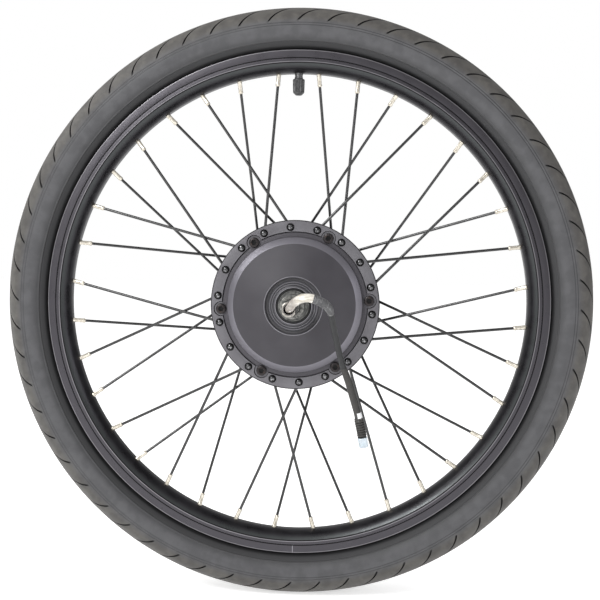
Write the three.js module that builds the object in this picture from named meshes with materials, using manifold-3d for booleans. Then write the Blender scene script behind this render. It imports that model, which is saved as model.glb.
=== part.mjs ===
// A spoked bicycle wheel built round a geared hub motor: the axle and stator stay still, and the
// shell, spokes, rim and tyre turn on them. Millimetres, +Z up.
// The origin is the wheel's centre, on the axle and in the rim's middle plane. The axle runs along Y,
// the cable leaves it towards -Y, and the tyre valve is at +Z. Clock angles start at +Z and grow
// towards +X, which is also the positive turn about +Y.
import * as THREE from "three";
import { mergeVertices } from "three/addons/utils/BufferGeometryUtils.js";
import Module from "manifold-3d";

const wasm = await Module();
wasm.setup();

// ---- Driving dimensions ----

const GAP = 0.3; // between neighbours that touch on the real wheel
const THROUGH = 1; // how far a cutter runs past the face it opens

const WHEEL_SIDES = 36; // facets round the tyre, rim and hub
const SMALL_SIDES = 18; // facets round the axle and bearings
const TUBE_SIDES = 24; // facets round the inner tube
const WIRE_SIDES = 5; // facets round a spoke

// Tyre 47-406 on a double-walled rim
const TYRE_R = 245.5;
const TYRE_HALF_WIDTH = 22.4;
const TREAD_THICKNESS = 5;
const SIDEWALL_THICKNESS = 2.6;
const TUBE_WALL = 1.2;
const RIM_FLANGE_R = 209.5;
const RIM_SEAT_R = 203.2;
const RIM_WELL_R = 200.6;
const RIM_INNER_R = 191.9;
const RIM_HALF_WIDTH = 12.4;
const RIM_WALL = 2;
const TAPE_THICKNESS = 0.7;
const TAPE_HALF_WIDTH = 4;
const JOINT_INSERT_ANGLE = 7.4; // degrees of rim that the sleeve at the joint fills

// Valve
const VALVE_STEM_R = 3.5;
const VALVE_THREAD_R = 2.4;
const VALVE_END_R = 176.5;
const VALVE_CAP_TOP_R = 187.3;
const VALVE_CAP_END_R = 174.1;
const VALVE_CAP_RADIUS = 5;
const VALVE_CAP_TAPER_RADIUS = 4.7;
const VALVE_CAP_TIP_RADIUS = 2.6;
const VALVE_CAP_TIP_HEIGHT = 2.2;

// Spokes: 36, heads outside the flanges, each crossing one neighbour of its own side
const PAIRS_PER_SIDE = 9;
const SPOKE_R = 1.17;
const SPOKE_CIRCLE_R = 64.1;
const FRONT_SPOKE_Y = -13.6;
const REAR_SPOKE_Y = 29.6;
const RIM_STEP = 10; // degrees between neighbouring nipples
const LEAN = 20; // degrees from a spoke's nipple to its hole in the flange
const HUB_CLOCK = 1.2; // degrees the hub has turned from the even lacing
const NIPPLE_R = 1.95;
const NIPPLE_BELOW_RIM = 10;
const NIPPLE_IN_RIM = 4;
const HEAD_R = 2.65;
const HEAD_TOP_R = 1.6;
const HEAD_HEIGHT = 1.9;

// Hub shell, with the cover on the cable side
const FLANGE_R = 69.9;
const FLANGE_THICKNESS = 3;
const FRONT_FLANGE_Y = -15.1; // inner faces of the flanges
const REAR_FLANGE_Y = 31.1;
const SHELL_R = 60;
const SHELL_BORE_R = 53.3;
const COVER_SEAT_Y = -14;
const COVER_THICKNESS = 1.6;
const COVER_CONE_R = 56; // the cover is flat out here, then rises as a steep cone
const COVER_FACE_R = 50; // and from here as a shallow one
const COVER_FACE_Y = -25.6;
const COVER_NOSE_Y = -36;
const RECESS_R = 22.8; // of the round recess that the bearing and axle stand in
const RECESS_FLOOR_Y = -33.9;
const GASKET_THICKNESS = 0.6;
const SCREWS = 6;
const SCREW_CIRCLE_R = 61.3;
const SCREW_ANGLE = 26.2;
const SCREW_R = 2;
const SCREW_HEAD_R = 4.3;
const SCREW_HEAD_HEIGHT = 1.9;
const LOBE_R = 6;
const SCREW_BOSS_R = 7.5;

// Bearings, 28 mm outside and 12 mm inside
const BEARING_R = 14;
const BEARING_WIDTH = 8;
const BEARING_INNER_R = 8.6;
const FRONT_BEARING_Y = -33.4; // outer faces of the bearings
const REAR_BEARING_Y = 46.6;

// Axle
const AXLE_R = 6;
const AXLE_SHOULDER_R = 8.6;
const AXLE_SHOULDER_REAR_Y = 11.8;
const SPACER_R = 9.8;
const SPACER_STEP_Y = -36.5;
const AXLE_FRONT_Y = -84;
const AXLE_REAR_Y = 84;
const FLAT_HALF_WIDTH = 5;
const DROPOUT_Y = 50; // half the width between the fork ends
const CABLE_BORE_R = 3.9;
const CABLE_SLOT_DEPTH = 9;
const CABLE_SLOT_ANGLE = 42;
const WIRE_HOLE_Y = -17;
const WIRE_HOLE_R = 2.7;

// Motor: an outrunner that drives the shell through three planet gears
const STATOR_R = 42.6;
const STATOR_FRONT_Y = -12;
const STATOR_REAR_Y = 8;
const STATOR_SLOTS = 12;
const MAGNET_R = 43.5;
const MAGNET_THICKNESS = 2.4;
const CAN_R = 49.6;
const CAN_FRONT_Y = -13;
const CAN_FLOOR_Y = 12.6;
const GEAR_MODULE = 2.4;
const SUN_TEETH = 9;
const PLANET_TEETH = 15;
const RING_TEETH = SUN_TEETH + 2 * PLANET_TEETH;
const GEAR_FRONT_Y = 17.5;
const GEAR_REAR_Y = 30.5;
const RING_GEAR_R = 53;
const CARRIER_R = 38;
const CARRIER_FRONT_Y = 31.6;
const CARRIER_REAR_Y = 35.2;
const CLUTCH_R = 12;

// Motor cable: where its middle line runs, from inside the axle's bore to the plug's cap
const CABLE_ROUTE = [
  [0, -72, 0],
  [0, -76, 0],
  [0.2, -80.2, 0.3],
  [1.4, -85, 1.6],
  [4.7, -90.9, 5.7],
  [10.9, -93.8, 9.2],
  [17.8, -94.4, 9.3],
  [23.2, -93, 7.3],
  [27.8, -89, 4.6],
  [30.5, -84.6, 1.1],
  [32.7, -79.6, -6.4],
  [33.9, -75.5, -13.3],
  [35.2, -72.2, -19.8],
  [36.6, -69.5, -26.3],
  [38, -67.7, -32.7],
  [39.6, -66.1, -39.1],
  [41.5, -64.4, -45.4],
  [43.8, -62.8, -51.6],
  [46.1, -61.1, -57.9],
  [48.3, -59.9, -64.2],
  [50.3, -59.4, -70.4],
  [51.9, -59.1, -76.8],
  [53.3, -58.6, -83.2],
  [54.8, -58.2, -89.7],
  [56.2, -57.8, -96.1],
  [57.3, -57.4, -102.7],
  [58.6, -57, -109.2],
];
const SLEEVE_R = 3.4;
const SHRINK_R = 3.6;
const CABLE_R = 2.4;
const BOOT_R = 2.9;
const PLUG_R = 3.75;
const CAP_R = 3.9;

// ---- Materials ----

function material(color, roughness, metalness) {
  return new THREE.MeshStandardMaterial({ color, roughness, metalness, flatShading: true });
}

const tyreRubber = material(0x3a3936, 0.9, 0);
const softRubber = material(0x1b1b1c, 0.8, 0);
const tapeCloth = material(0x8a2f2a, 0.9, 0);
const rimAlloy = material(0x4b4850, 0.35, 0.8);
const bareAlloy = material(0xb9bbbe, 0.4, 0.9);
const hubPaint = material(0x57545b, 0.45, 0.5);
const blackSteel = material(0x151516, 0.4, 0.6);
const zincSteel = material(0xa9a79f, 0.35, 0.9);
const bearingSteel = material(0xc9cacc, 0.25, 1);
const sealRubber = material(0x4c5450, 0.7, 0);
const gasketPaper = material(0x6d6a5c, 0.95, 0);
const laminations = material(0x6f7276, 0.5, 0.8);
const copper = material(0xb06a35, 0.35, 0.9);
const magnetAlloy = material(0x8c8f94, 0.3, 0.9);
const canSteel = material(0x7d8186, 0.4, 0.9);
const gearSteel = material(0x9a9da2, 0.35, 0.9);
const nylon = material(0xd9d4c4, 0.6, 0);
const boardGreen = material(0x2d6a43, 0.6, 0);
const blackPlastic = material(0x1c1c1d, 0.5, 0);
const whiteSilicone = material(0xe6e3da, 0.3, 0);
const greyShrink = material(0x55565a, 0.6, 0);
const cableJacket = material(0x4a4b4e, 0.55, 0);
const clearCap = material(0xdfeaf0, 0.2, 0);

// ---- Shapes ----

// A closed three.js geometry as a solid, whichever way its faces were wound.
function solid(geometry) {
  const bare = geometry.clone();
  bare.deleteAttribute("normal");
  bare.deleteAttribute("uv");
  const merged = mergeVertices(bare, 1e-4);
  const vertProperties = merged.attributes.position.array;
  const triVerts = new Uint32Array(merged.index.array);
  const made = new wasm.Manifold(new wasm.Mesh({ numProp: 3, vertProperties, triVerts }));
  if (made.volume() > 0) return made;
  return new wasm.Manifold(new wasm.Mesh({ numProp: 3, vertProperties, triVerts: triVerts.reverse() }));
}

// A solid back as a three.js geometry.
function geometryOf(made) {
  const mesh = made.getMesh();
  return new THREE.BufferGeometry()
    .setAttribute("position", new THREE.BufferAttribute(new Float32Array(mesh.vertProperties), 3))
    .setIndex(new THREE.BufferAttribute(new Uint32Array(mesh.triVerts), 1));
}

// The point at a radius and a clock angle, so far along the axle.
function polar(radius, degrees, y) {
  const angle = THREE.MathUtils.degToRad(degrees);
  return new THREE.Vector3(radius * Math.sin(angle), y, radius * Math.cos(angle));
}

// A closed outline of [radius, y] corners turned about the axle.
function turned(outline, sides) {
  const points = [...outline, outline[0]].map(([radius, y]) => new THREE.Vector2(radius, y));
  return solid(new THREE.LatheGeometry(points, sides));
}

// A ring of rectangular section.
function ring(innerR, outerR, fromY, toY, sides) {
  return turned([[outerR, fromY], [outerR, toY], [innerR, toY], [innerR, fromY]], sides);
}

// A straight round bar between two points, which may taper.
function bar(from, to, radius, sides, endRadius = radius) {
  const along = to.clone().sub(from);
  const geometry = new THREE.CylinderGeometry(endRadius, radius, along.length(), sides);
  const up = new THREE.Vector3(0, 1, 0);
  geometry.applyQuaternion(new THREE.Quaternion().setFromUnitVectors(up, along.clone().normalize()));
  geometry.translate(...from.clone().addScaledVector(along, 0.5).toArray());
  return solid(geometry);
}

// A profile of [radius, distance] corners, from its axis back to its axis, turned about the line
// that leaves a point in a direction.
function spindle(profile, from, direction, sides) {
  const points = profile.map(([radius, distance]) => new THREE.Vector2(radius, distance));
  const geometry = new THREE.LatheGeometry(points, sides);
  const up = new THREE.Vector3(0, 1, 0);
  geometry.applyQuaternion(new THREE.Quaternion().setFromUnitVectors(up, direction));
  geometry.translate(...from.toArray());
  return solid(geometry);
}

// A bar along the axle's direction through a point.
function axialBar(radius, degrees, fromY, toY, barR, sides) {
  return bar(polar(radius, degrees, fromY), polar(radius, degrees, toY), barR, sides);
}

// A box between two corners.
function block(low, high) {
  const size = high.map((value, i) => value - low[i]);
  const geometry = new THREE.BoxGeometry(...size);
  geometry.translate(...low.map((value, i) => value + size[i] / 2));
  return solid(geometry);
}

// An outline of one side, [radius, y] with y over 0, made whole by its mirror image.
function mirrored(side) {
  return [...side, ...side.toReversed().map(([radius, y]) => [radius, -y])];
}

// The same solid turned about the axle by each angle in turn, joined to or cut from a body.
function forEachTurn(count, body, made, join) {
  let result = body;
  for (let i = 0; i < count; i++) {
    const copy = made.rotate([0, (360 / count) * i, 0]);
    result = join ? result.add(copy) : result.subtract(copy);
  }
  return result;
}

// ---- Assembly ----

const wheelMotor = new THREE.Group();

function place(name, made, look, degrees = 0) {
  const mesh = new THREE.Mesh(made.isBufferGeometry ? made : geometryOf(made), look);
  mesh.name = name;
  mesh.rotation.y = THREE.MathUtils.degToRad(degrees);
  wheelMotor.add(mesh);
  return mesh;
}

// ---- Spokes ----

const HOLE_SIDES = 4; // the spokes' and nipples' holes are square, to keep the facets few
const HOLE_CLEARANCE = 0.4;

// How far out the corners of a square hole lie that clears a round of some radius.
function squareHole(radius) {
  return radius * Math.SQRT2 + HOLE_CLEARANCE;
}

// The line of one spoke's shaft, from its elbow at the flange to its way into the rim.
function spokeLine(rimAngle, hubAngle, flangeY) {
  const elbow = polar(SPOKE_CIRCLE_R, hubAngle, flangeY);
  const entry = polar(RIM_INNER_R, rimAngle, 0);
  const direction = entry.clone().sub(elbow).normalize();
  return { elbow, entry, direction };
}

// The two crossing spokes that a side repeats, centred on clock angle 0: each nipple lies half a
// pair's width from the centre, and its flange hole lies on the other side.
function pairLines(flangeY) {
  return [
    spokeLine(RIM_STEP, RIM_STEP - LEAN + HUB_CLOCK, flangeY),
    spokeLine(-RIM_STEP, LEAN - RIM_STEP + HUB_CLOCK, flangeY),
  ];
}

// One spoke with its head outside the flange and its nipple at the rim.
function spoke({ elbow, entry, direction }, outward) {
  const reach = elbow.distanceTo(entry);
  const headAt = SPOKE_R + GAP + FLANGE_THICKNESS + GAP;
  const shaft = [
    [0, 0],
    [SPOKE_R, 0],
    [SPOKE_R, reach - NIPPLE_BELOW_RIM],
    [NIPPLE_R, reach - NIPPLE_BELOW_RIM],
    [NIPPLE_R, reach + NIPPLE_IN_RIM],
    [0, reach + NIPPLE_IN_RIM],
  ];
  const shank = [
    [0, 0],
    [SPOKE_R, 0],
    [SPOKE_R, headAt],
    [HEAD_R, headAt],
    [HEAD_TOP_R, headAt + HEAD_HEIGHT],
    [0, headAt + HEAD_HEIGHT],
  ];
  const along = new THREE.Vector3(0, outward, 0);
  return spindle(shaft, elbow, direction, WIRE_SIDES).add(spindle(shank, elbow, along, WIRE_SIDES));
}

// Spokes of one side cross in pairs and bear on each other there, so each pair is one solid.
function placeSpokes(side, flangeY, outward, firstAngle) {
  const [one, other] = pairLines(flangeY).map((line) => spoke(line, outward));
  const geometry = geometryOf(one.add(other));
  for (let i = 0; i < PAIRS_PER_SIDE; i++) {
    const degrees = firstAngle + (360 / PAIRS_PER_SIDE) * i;
    place(`${side}_spoke_pair_${i + 1}`, geometry, blackSteel, degrees);
  }
}

const FRONT_PAIR_ANGLE = 25;
const REAR_PAIR_ANGLE = 15;
placeSpokes("front", FRONT_SPOKE_Y, -1, FRONT_PAIR_ANGLE);
placeSpokes("rear", REAR_SPOKE_Y, 1, REAR_PAIR_ANGLE);

// The holes that one side's nipples need in the rim.
function nippleHoles(flangeY, firstAngle) {
  const [one, other] = pairLines(flangeY).map(({ entry, direction }) => {
    const from = entry.clone().addScaledVector(direction, -NIPPLE_IN_RIM);
    const to = entry.clone().addScaledVector(direction, NIPPLE_IN_RIM + THROUGH);
    return bar(from, to, squareHole(NIPPLE_R), HOLE_SIDES);
  });
  return one.add(other).rotate([0, firstAngle, 0]);
}

// ---- Rim ----

const rimOutline = mirrored([
  [RIM_INNER_R, 4],
  [RIM_INNER_R + 2.7, 8.5],
  [RIM_INNER_R + 7.1, RIM_HALF_WIDTH],
  [RIM_FLANGE_R, RIM_HALF_WIDTH],
  [RIM_FLANGE_R, RIM_HALF_WIDTH - 1.7],
  [RIM_SEAT_R, RIM_HALF_WIDTH - 2.3],
  [RIM_WELL_R + 2, 6.2],
  [RIM_WELL_R, 4.4],
]);
const rimHollow = mirrored([
  [RIM_INNER_R + RIM_WALL, 4.4],
  [RIM_INNER_R + 7.9, 9.3],
  [RIM_WELL_R - 1.7, 5],
]);

// A bar along the valve's own line, between two distances from the axle.
function valveBar(fromR, toR, radius, sides, endRadius = radius) {
  return bar(polar(fromR, 0, 0), polar(toR, 0, 0), radius, sides, endRadius);
}

const VALVE_SIDES = 10;
const valveHole = valveBar(RIM_INNER_R - THROUGH, RIM_SEAT_R, VALVE_STEM_R + HOLE_CLEARANCE, VALVE_SIDES);

let rim = turned(rimOutline, WHEEL_SIDES).subtract(turned(rimHollow, WHEEL_SIDES));
rim = forEachTurn(PAIRS_PER_SIDE, rim, nippleHoles(FRONT_SPOKE_Y, FRONT_PAIR_ANGLE), false);
rim = forEachTurn(PAIRS_PER_SIDE, rim, nippleHoles(REAR_SPOKE_Y, REAR_PAIR_ANGLE), false);
place("rim", rim.subtract(valveHole), rimAlloy);

// The sleeve inside the rim that joins its two ends, opposite the valve.
const insertOutline = mirrored([
  [RIM_INNER_R + RIM_WALL + 0.6, 3.9],
  [RIM_INNER_R + 7.2, 7.9],
  [RIM_WELL_R - 2.1, 4.6],
]);
const insertHalfWidth = RIM_INNER_R * Math.tan(THREE.MathUtils.degToRad(JOINT_INSERT_ANGLE / 2));
const insertSpace = block(
  [-insertHalfWidth, -RIM_HALF_WIDTH, -RIM_FLANGE_R],
  [insertHalfWidth, RIM_HALF_WIDTH, 0],
);
place("rim_joint_insert", turned(insertOutline, WHEEL_SIDES).intersect(insertSpace), bareAlloy);

const tapeR = RIM_WELL_R + GAP;
const tape = ring(tapeR, tapeR + TAPE_THICKNESS, -TAPE_HALF_WIDTH, TAPE_HALF_WIDTH, WHEEL_SIDES);
place("rim_tape", tape.subtract(valveHole), tapeCloth);

// ---- Tyre, tube and valve ----

const tyreOutside = [
  [RIM_SEAT_R + 0.5, 9.4],
  [RIM_FLANGE_R + 0.7, 10.2],
  [214, 17.6],
  [224, TYRE_HALF_WIDTH],
  [236, 20],
  [243.4, 11],
];
const tyreInside = [
  [RIM_SEAT_R + 0.5, 6],
  [213, 13],
  [224, TYRE_HALF_WIDTH - SIDEWALL_THICKNESS],
  [236, 13.5],
];
const tyreOutline = [
  [TYRE_R, 0],
  ...tyreOutside.toReversed(),
  ...tyreInside,
  [TYRE_R - TREAD_THICKNESS, 0],
  ...tyreInside.toReversed().map(([radius, y]) => [radius, -y]),
  ...tyreOutside.map(([radius, y]) => [radius, -y]),
];
place("tyre", turned(tyreOutline, WHEEL_SIDES), tyreRubber);

const TUBE_INNER_R = 204.6;
const TUBE_OUTER_R = 237.6;
const TUBE_WIDEST_R = 225;
const TUBE_HALF_WIDTH = 17;
const tubeOutline = mirrored([
  [TUBE_INNER_R, 3.6],
  [213, 10.6],
  [TUBE_WIDEST_R, TUBE_HALF_WIDTH],
  [TUBE_OUTER_R, 6],
]);
const tubeHollow = mirrored([
  [TUBE_INNER_R + TUBE_WALL, 3],
  [TUBE_WIDEST_R, TUBE_HALF_WIDTH - TUBE_WALL],
  [TUBE_OUTER_R - TUBE_WALL, 5],
]);
const STEM_FOOT_R = 207.5; // the valve's foot is inside the tube
const innerTube = turned(tubeOutline, TUBE_SIDES)
  .subtract(turned(tubeHollow, TUBE_SIDES))
  .subtract(valveBar(RIM_WELL_R, STEM_FOOT_R + THROUGH, VALVE_STEM_R + GAP, VALVE_SIDES));
place("inner_tube", innerTube, softRubber);

const valveNeck = valveBar(STEM_FOOT_R, VALVE_CAP_TOP_R + GAP, VALVE_STEM_R, VALVE_SIDES);
const valveThread = valveBar(RIM_INNER_R, VALVE_END_R, VALVE_THREAD_R, VALVE_SIDES);
place("valve_stem", valveNeck.add(valveThread), softRubber);

const CAP_SIDES = 12;
const tipFromR = VALVE_CAP_END_R + VALVE_CAP_TIP_HEIGHT;
const capSkirt = valveBar(VALVE_CAP_TOP_R, tipFromR, VALVE_CAP_RADIUS, CAP_SIDES, VALVE_CAP_TAPER_RADIUS);
const capTip = valveBar(tipFromR, VALVE_CAP_END_R, VALVE_CAP_TAPER_RADIUS, CAP_SIDES, VALVE_CAP_TIP_RADIUS);
const capBore = valveBar(
  VALVE_CAP_TOP_R + THROUGH,
  VALVE_END_R - GAP,
  VALVE_THREAD_R + HOLE_CLEARANCE,
  VALVE_SIDES,
);
place("valve_cap", capSkirt.add(capTip).subtract(capBore), blackPlastic);

// ---- Hub shell and cover ----

const FILLET = 3; // where the flanges leave the shell
const BEARING_LIP_R = 11.5; // the shoulder that a bearing's outer ring seats on
const rearSeatY = REAR_BEARING_Y - BEARING_WIDTH - GAP;
const shellOutline = [
  [FLANGE_R, FRONT_FLANGE_Y - FLANGE_THICKNESS],
  [FLANGE_R, FRONT_FLANGE_Y],
  [SHELL_R + FILLET, FRONT_FLANGE_Y],
  [SHELL_R, FRONT_FLANGE_Y + FILLET],
  [SHELL_R, REAR_FLANGE_Y - FILLET],
  [SHELL_R + FILLET, REAR_FLANGE_Y],
  [FLANGE_R, REAR_FLANGE_Y],
  [FLANGE_R, REAR_FLANGE_Y + FLANGE_THICKNESS],
  [SHELL_R, REAR_FLANGE_Y + FLANGE_THICKNESS],
  [50, 40.5],
  [24, REAR_BEARING_Y + 0.4],
  [BEARING_R + GAP, REAR_BEARING_Y + 0.4],
  [BEARING_R + GAP, rearSeatY],
  [BEARING_LIP_R, rearSeatY],
  [BEARING_LIP_R, CARRIER_REAR_Y + 1],
  [45, CARRIER_REAR_Y + 1],
  [SHELL_BORE_R, CARRIER_FRONT_Y],
  [SHELL_BORE_R, COVER_SEAT_Y],
  [SHELL_R + GAP, COVER_SEAT_Y],
  [SHELL_R + GAP, FRONT_FLANGE_Y - FLANGE_THICKNESS],
];
const gasketFaceY = COVER_SEAT_Y - GAP - GASKET_THICKNESS;
const coverBackY = gasketFaceY - GAP;
const coverFaceY = coverBackY - COVER_THICKNESS;
const frontCutY = FRONT_FLANGE_Y - FLANGE_THICKNESS - THROUGH;
const rearCutY = REAR_FLANGE_Y + FLANGE_THICKNESS + THROUGH;
const SCREW_END_Y = -7;
const SCREW_BOSS_END_Y = -3;
const LOBE_SIDES = 10;
const SCREW_SIDES = 6;

// A bar along the axle's direction through the first screw's centre.
function screwBar(fromY, toY, radius, sides) {
  return axialBar(SCREW_CIRCLE_R, SCREW_ANGLE, fromY, toY, radius, sides);
}

// A hole for a spoke's elbow, at a clock angle, from one side of a flange to the other.
function elbowHole(degrees, fromY, toY) {
  return axialBar(SPOKE_CIRCLE_R, degrees + HUB_CLOCK, fromY, toY, squareHole(SPOKE_R), HOLE_SIDES);
}

const coverPocket = ring(COVER_FACE_R, SHELL_R + GAP, frontCutY, COVER_SEAT_Y, WHEEL_SIDES);
const screwBoss = screwBar(FRONT_FLANGE_Y - 0.5, SCREW_BOSS_END_Y, SCREW_BOSS_R, LOBE_SIDES)
  .subtract(coverPocket);
const lobePocket = screwBar(frontCutY, gasketFaceY, LOBE_R + HOLE_CLEARANCE, LOBE_SIDES);
const screwHole = screwBar(frontCutY, SCREW_END_Y + 0.5, SCREW_R + GAP, SCREW_SIDES);
const frontElbowHole = elbowHole(FRONT_PAIR_ANGLE - RIM_STEP, frontCutY, FRONT_FLANGE_Y + FILLET);
const rearElbowHole = elbowHole(REAR_PAIR_ANGLE - RIM_STEP, REAR_FLANGE_Y - FILLET, rearCutY);

let shell = turned(shellOutline, WHEEL_SIDES);
shell = forEachTurn(SCREWS, shell, screwBoss, true);
shell = forEachTurn(SCREWS, shell, lobePocket.add(screwHole), false);
shell = forEachTurn(2 * PAIRS_PER_SIDE, shell, frontElbowHole, false);
shell = forEachTurn(2 * PAIRS_PER_SIDE, shell, rearElbowHole, false);
place("hub_shell", shell, hubPaint);

const coverSeatY = FRONT_BEARING_Y + BEARING_WIDTH + GAP;
const coverOutline = [
  [SHELL_R, coverBackY],
  [SHELL_R, coverFaceY],
  [COVER_CONE_R, coverFaceY],
  [COVER_FACE_R, COVER_FACE_Y],
  [RECESS_R + 1, COVER_NOSE_Y],
  [RECESS_R, COVER_NOSE_Y],
  [RECESS_R - 0.4, RECESS_FLOOR_Y + 0.9],
  [BEARING_R + GAP, RECESS_FLOOR_Y],
  [BEARING_R + GAP, coverSeatY],
  [BEARING_LIP_R, coverSeatY],
  [BEARING_LIP_R, -22.6],
  [20, -22.6],
  [23, -30.2],
  [48, -21.3],
  [50.5, COVER_SEAT_Y],
  [SHELL_BORE_R - GAP, COVER_SEAT_Y],
  [SHELL_BORE_R - GAP, coverBackY],
];
const coverLobe = screwBar(coverFaceY, coverBackY, LOBE_R, LOBE_SIDES);
const coverScrewHole = screwBar(coverFaceY - THROUGH, coverBackY + THROUGH, SCREW_R + GAP, SCREW_SIDES);
const cover = forEachTurn(SCREWS, turned(coverOutline, WHEEL_SIDES), coverLobe, true);
place("front_cover", forEachTurn(SCREWS, cover, coverScrewHole, false), hubPaint);

const GASKET_OUTER_R = 58.4;
const gasket = ring(
  SHELL_BORE_R + 0.4,
  GASKET_OUTER_R,
  gasketFaceY,
  gasketFaceY + GASKET_THICKNESS,
  WHEEL_SIDES,
);
place("cover_gasket", gasket, gasketPaper);

const HEX_R = 1.8;
const HEX_DEPTH = 1.1;
const headBackY = coverFaceY - GAP;
const headFaceY = headBackY - SCREW_HEAD_HEIGHT;
const screwShape = screwBar(headFaceY, headBackY, SCREW_HEAD_R, 8)
  .add(screwBar(headBackY - 0.5, SCREW_END_Y, SCREW_R, SCREW_SIDES))
  .subtract(screwBar(headFaceY - THROUGH, headFaceY + HEX_DEPTH, HEX_R, SCREW_SIDES));
for (let i = 0; i < SCREWS; i++) {
  place(`cover_screw_${i + 1}`, screwShape, blackSteel, (360 / SCREWS) * i);
}

// ---- Axle and bearings ----

const BORE_END_Y = WIRE_HOLE_Y + 4;
const WIRE_HOLE_SIDES = 8;
const axleOutline = [
  [CABLE_BORE_R, AXLE_FRONT_Y],
  [AXLE_R, AXLE_FRONT_Y],
  [AXLE_R, coverSeatY],
  [AXLE_SHOULDER_R, coverSeatY],
  [AXLE_SHOULDER_R, AXLE_SHOULDER_REAR_Y],
  [AXLE_R, AXLE_SHOULDER_REAR_Y],
  [AXLE_R, AXLE_REAR_Y],
  [0, AXLE_REAR_Y],
  [0, BORE_END_Y],
  [CABLE_BORE_R, BORE_END_Y],
];
const slot = block(
  [-CABLE_BORE_R, AXLE_FRONT_Y - THROUGH, 0],
  [CABLE_BORE_R, AXLE_FRONT_Y + CABLE_SLOT_DEPTH, AXLE_R + THROUGH],
).rotate([0, CABLE_SLOT_ANGLE, 0]);
const wireHoleEnd = polar(AXLE_SHOULDER_R + THROUGH, 0, WIRE_HOLE_Y);
const wireHole = bar(polar(0, 0, WIRE_HOLE_Y), wireHoleEnd, WIRE_HOLE_R, WIRE_HOLE_SIDES);

let axle = turned(axleOutline, SMALL_SIDES).subtract(slot).subtract(wireHole);
for (const [fromY, toY] of [[AXLE_FRONT_Y - THROUGH, -DROPOUT_Y], [DROPOUT_Y, AXLE_REAR_Y + THROUGH]]) {
  for (const side of [-1, 1]) {
    const near = side * FLAT_HALF_WIDTH;
    const far = side * (AXLE_R + THROUGH);
    const low = [Math.min(near, far), fromY, -AXLE_R - THROUGH];
    axle = axle.subtract(block(low, [Math.max(near, far), toY, AXLE_R + THROUGH]));
  }
}
place("axle", axle, zincSteel);

// A bearing's outer ring with the rubber lips that seal it, and its inner ring.
const RACE_R = 11.6;
const SEAL_R = 9.1;
const SEAL_THICKNESS = 0.9;
function placeBearing(side, faceY, inward) {
  const y = (depth) => faceY + inward * depth;
  const outer = [
    [BEARING_R, y(0)],
    [BEARING_R, y(BEARING_WIDTH)],
    [RACE_R, y(BEARING_WIDTH)],
    [RACE_R, y(SEAL_THICKNESS)],
    [SEAL_R, y(SEAL_THICKNESS)],
    [SEAL_R, y(0)],
  ];
  const inner = ring(AXLE_R + GAP, BEARING_INNER_R, y(0), y(BEARING_WIDTH), SMALL_SIDES);
  place(`${side}_bearing_outer_ring`, turned(outer, SMALL_SIDES), sealRubber);
  place(`${side}_bearing_inner_ring`, inner, bearingSteel);
}
placeBearing("front", FRONT_BEARING_Y, 1);
placeBearing("rear", REAR_BEARING_Y, -1);

// Spacers between the bearings' inner rings and the fork ends.
const spacerBore = AXLE_R + GAP;
const frontSpacer = turned([
  [spacerBore, FRONT_BEARING_Y - GAP],
  [BEARING_INNER_R, FRONT_BEARING_Y - GAP],
  [BEARING_INNER_R, SPACER_STEP_Y],
  [SPACER_R, SPACER_STEP_Y],
  [SPACER_R, -DROPOUT_Y],
  [spacerBore, -DROPOUT_Y],
], SMALL_SIDES);
const rearSpacer = ring(spacerBore, BEARING_INNER_R, REAR_BEARING_Y + GAP, DROPOUT_Y, SMALL_SIDES);
place("front_axle_spacer", frontSpacer, zincSteel);
place("rear_axle_spacer", rearSpacer, zincSteel);

// ---- Stator ----

const SLOT_FLOOR_R = 22;
const SLOT_TOP_R = 38.5;
const SLOT_HALF_WIDTH = 4;
const SLOT_MOUTH_HALF_WIDTH = 1.3;
const COIL_CLEARANCE = 0.6;
const COIL_INNER_R = SLOT_FLOOR_R + 3;
const COIL_OUTER_R = SLOT_TOP_R - COIL_CLEARANCE;
const FRONT_TURNS_HEIGHT = 5.5;
const REAR_TURNS_HEIGHT = 3.5;

// A cutter or filler that runs the length of the core, between two radii.
function slotBlock(halfWidth, fromR, toR) {
  return block([-halfWidth, STATOR_FRONT_Y - THROUGH, fromR], [halfWidth, STATOR_REAR_Y + THROUGH, toR]);
}

const statorSlot = slotBlock(SLOT_HALF_WIDTH, SLOT_FLOOR_R, SLOT_TOP_R)
  .add(slotBlock(SLOT_MOUTH_HALF_WIDTH, SLOT_TOP_R - THROUGH, STATOR_R + THROUGH));
const statorBody = ring(AXLE_SHOULDER_R + GAP, STATOR_R, STATOR_FRONT_Y, STATOR_REAR_Y, WHEEL_SIDES);
place("stator_core", forEachTurn(STATOR_SLOTS, statorBody, statorSlot, false), laminations);

// The coils: a bundle in every slot, joined by the end turns past both faces of the core.
function endTurns(fromY, toY) {
  return ring(COIL_INNER_R, COIL_OUTER_R, fromY, toY, TUBE_SIDES);
}

const coilBundle = slotBlock(SLOT_HALF_WIDTH - COIL_CLEARANCE, COIL_INNER_R, COIL_OUTER_R);
const allTurns = endTurns(STATOR_FRONT_Y - FRONT_TURNS_HEIGHT, STATOR_FRONT_Y - 0.5)
  .add(endTurns(STATOR_REAR_Y + 0.5, STATOR_REAR_Y + REAR_TURNS_HEIGHT));
place("stator_windings", forEachTurn(STATOR_SLOTS, allTurns, coilBundle, true), copper);

const BOARD_INNER_R = 21;
const BOARD_OUTER_R = 37;
const BOARD_FRONT_Y = -21.2;
const BOARD_REAR_Y = -19.8;
const board = ring(BOARD_INNER_R, BOARD_OUTER_R, BOARD_FRONT_Y, BOARD_REAR_Y, SMALL_SIDES);
place("hall_sensor_board", board, boardGreen);

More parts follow.
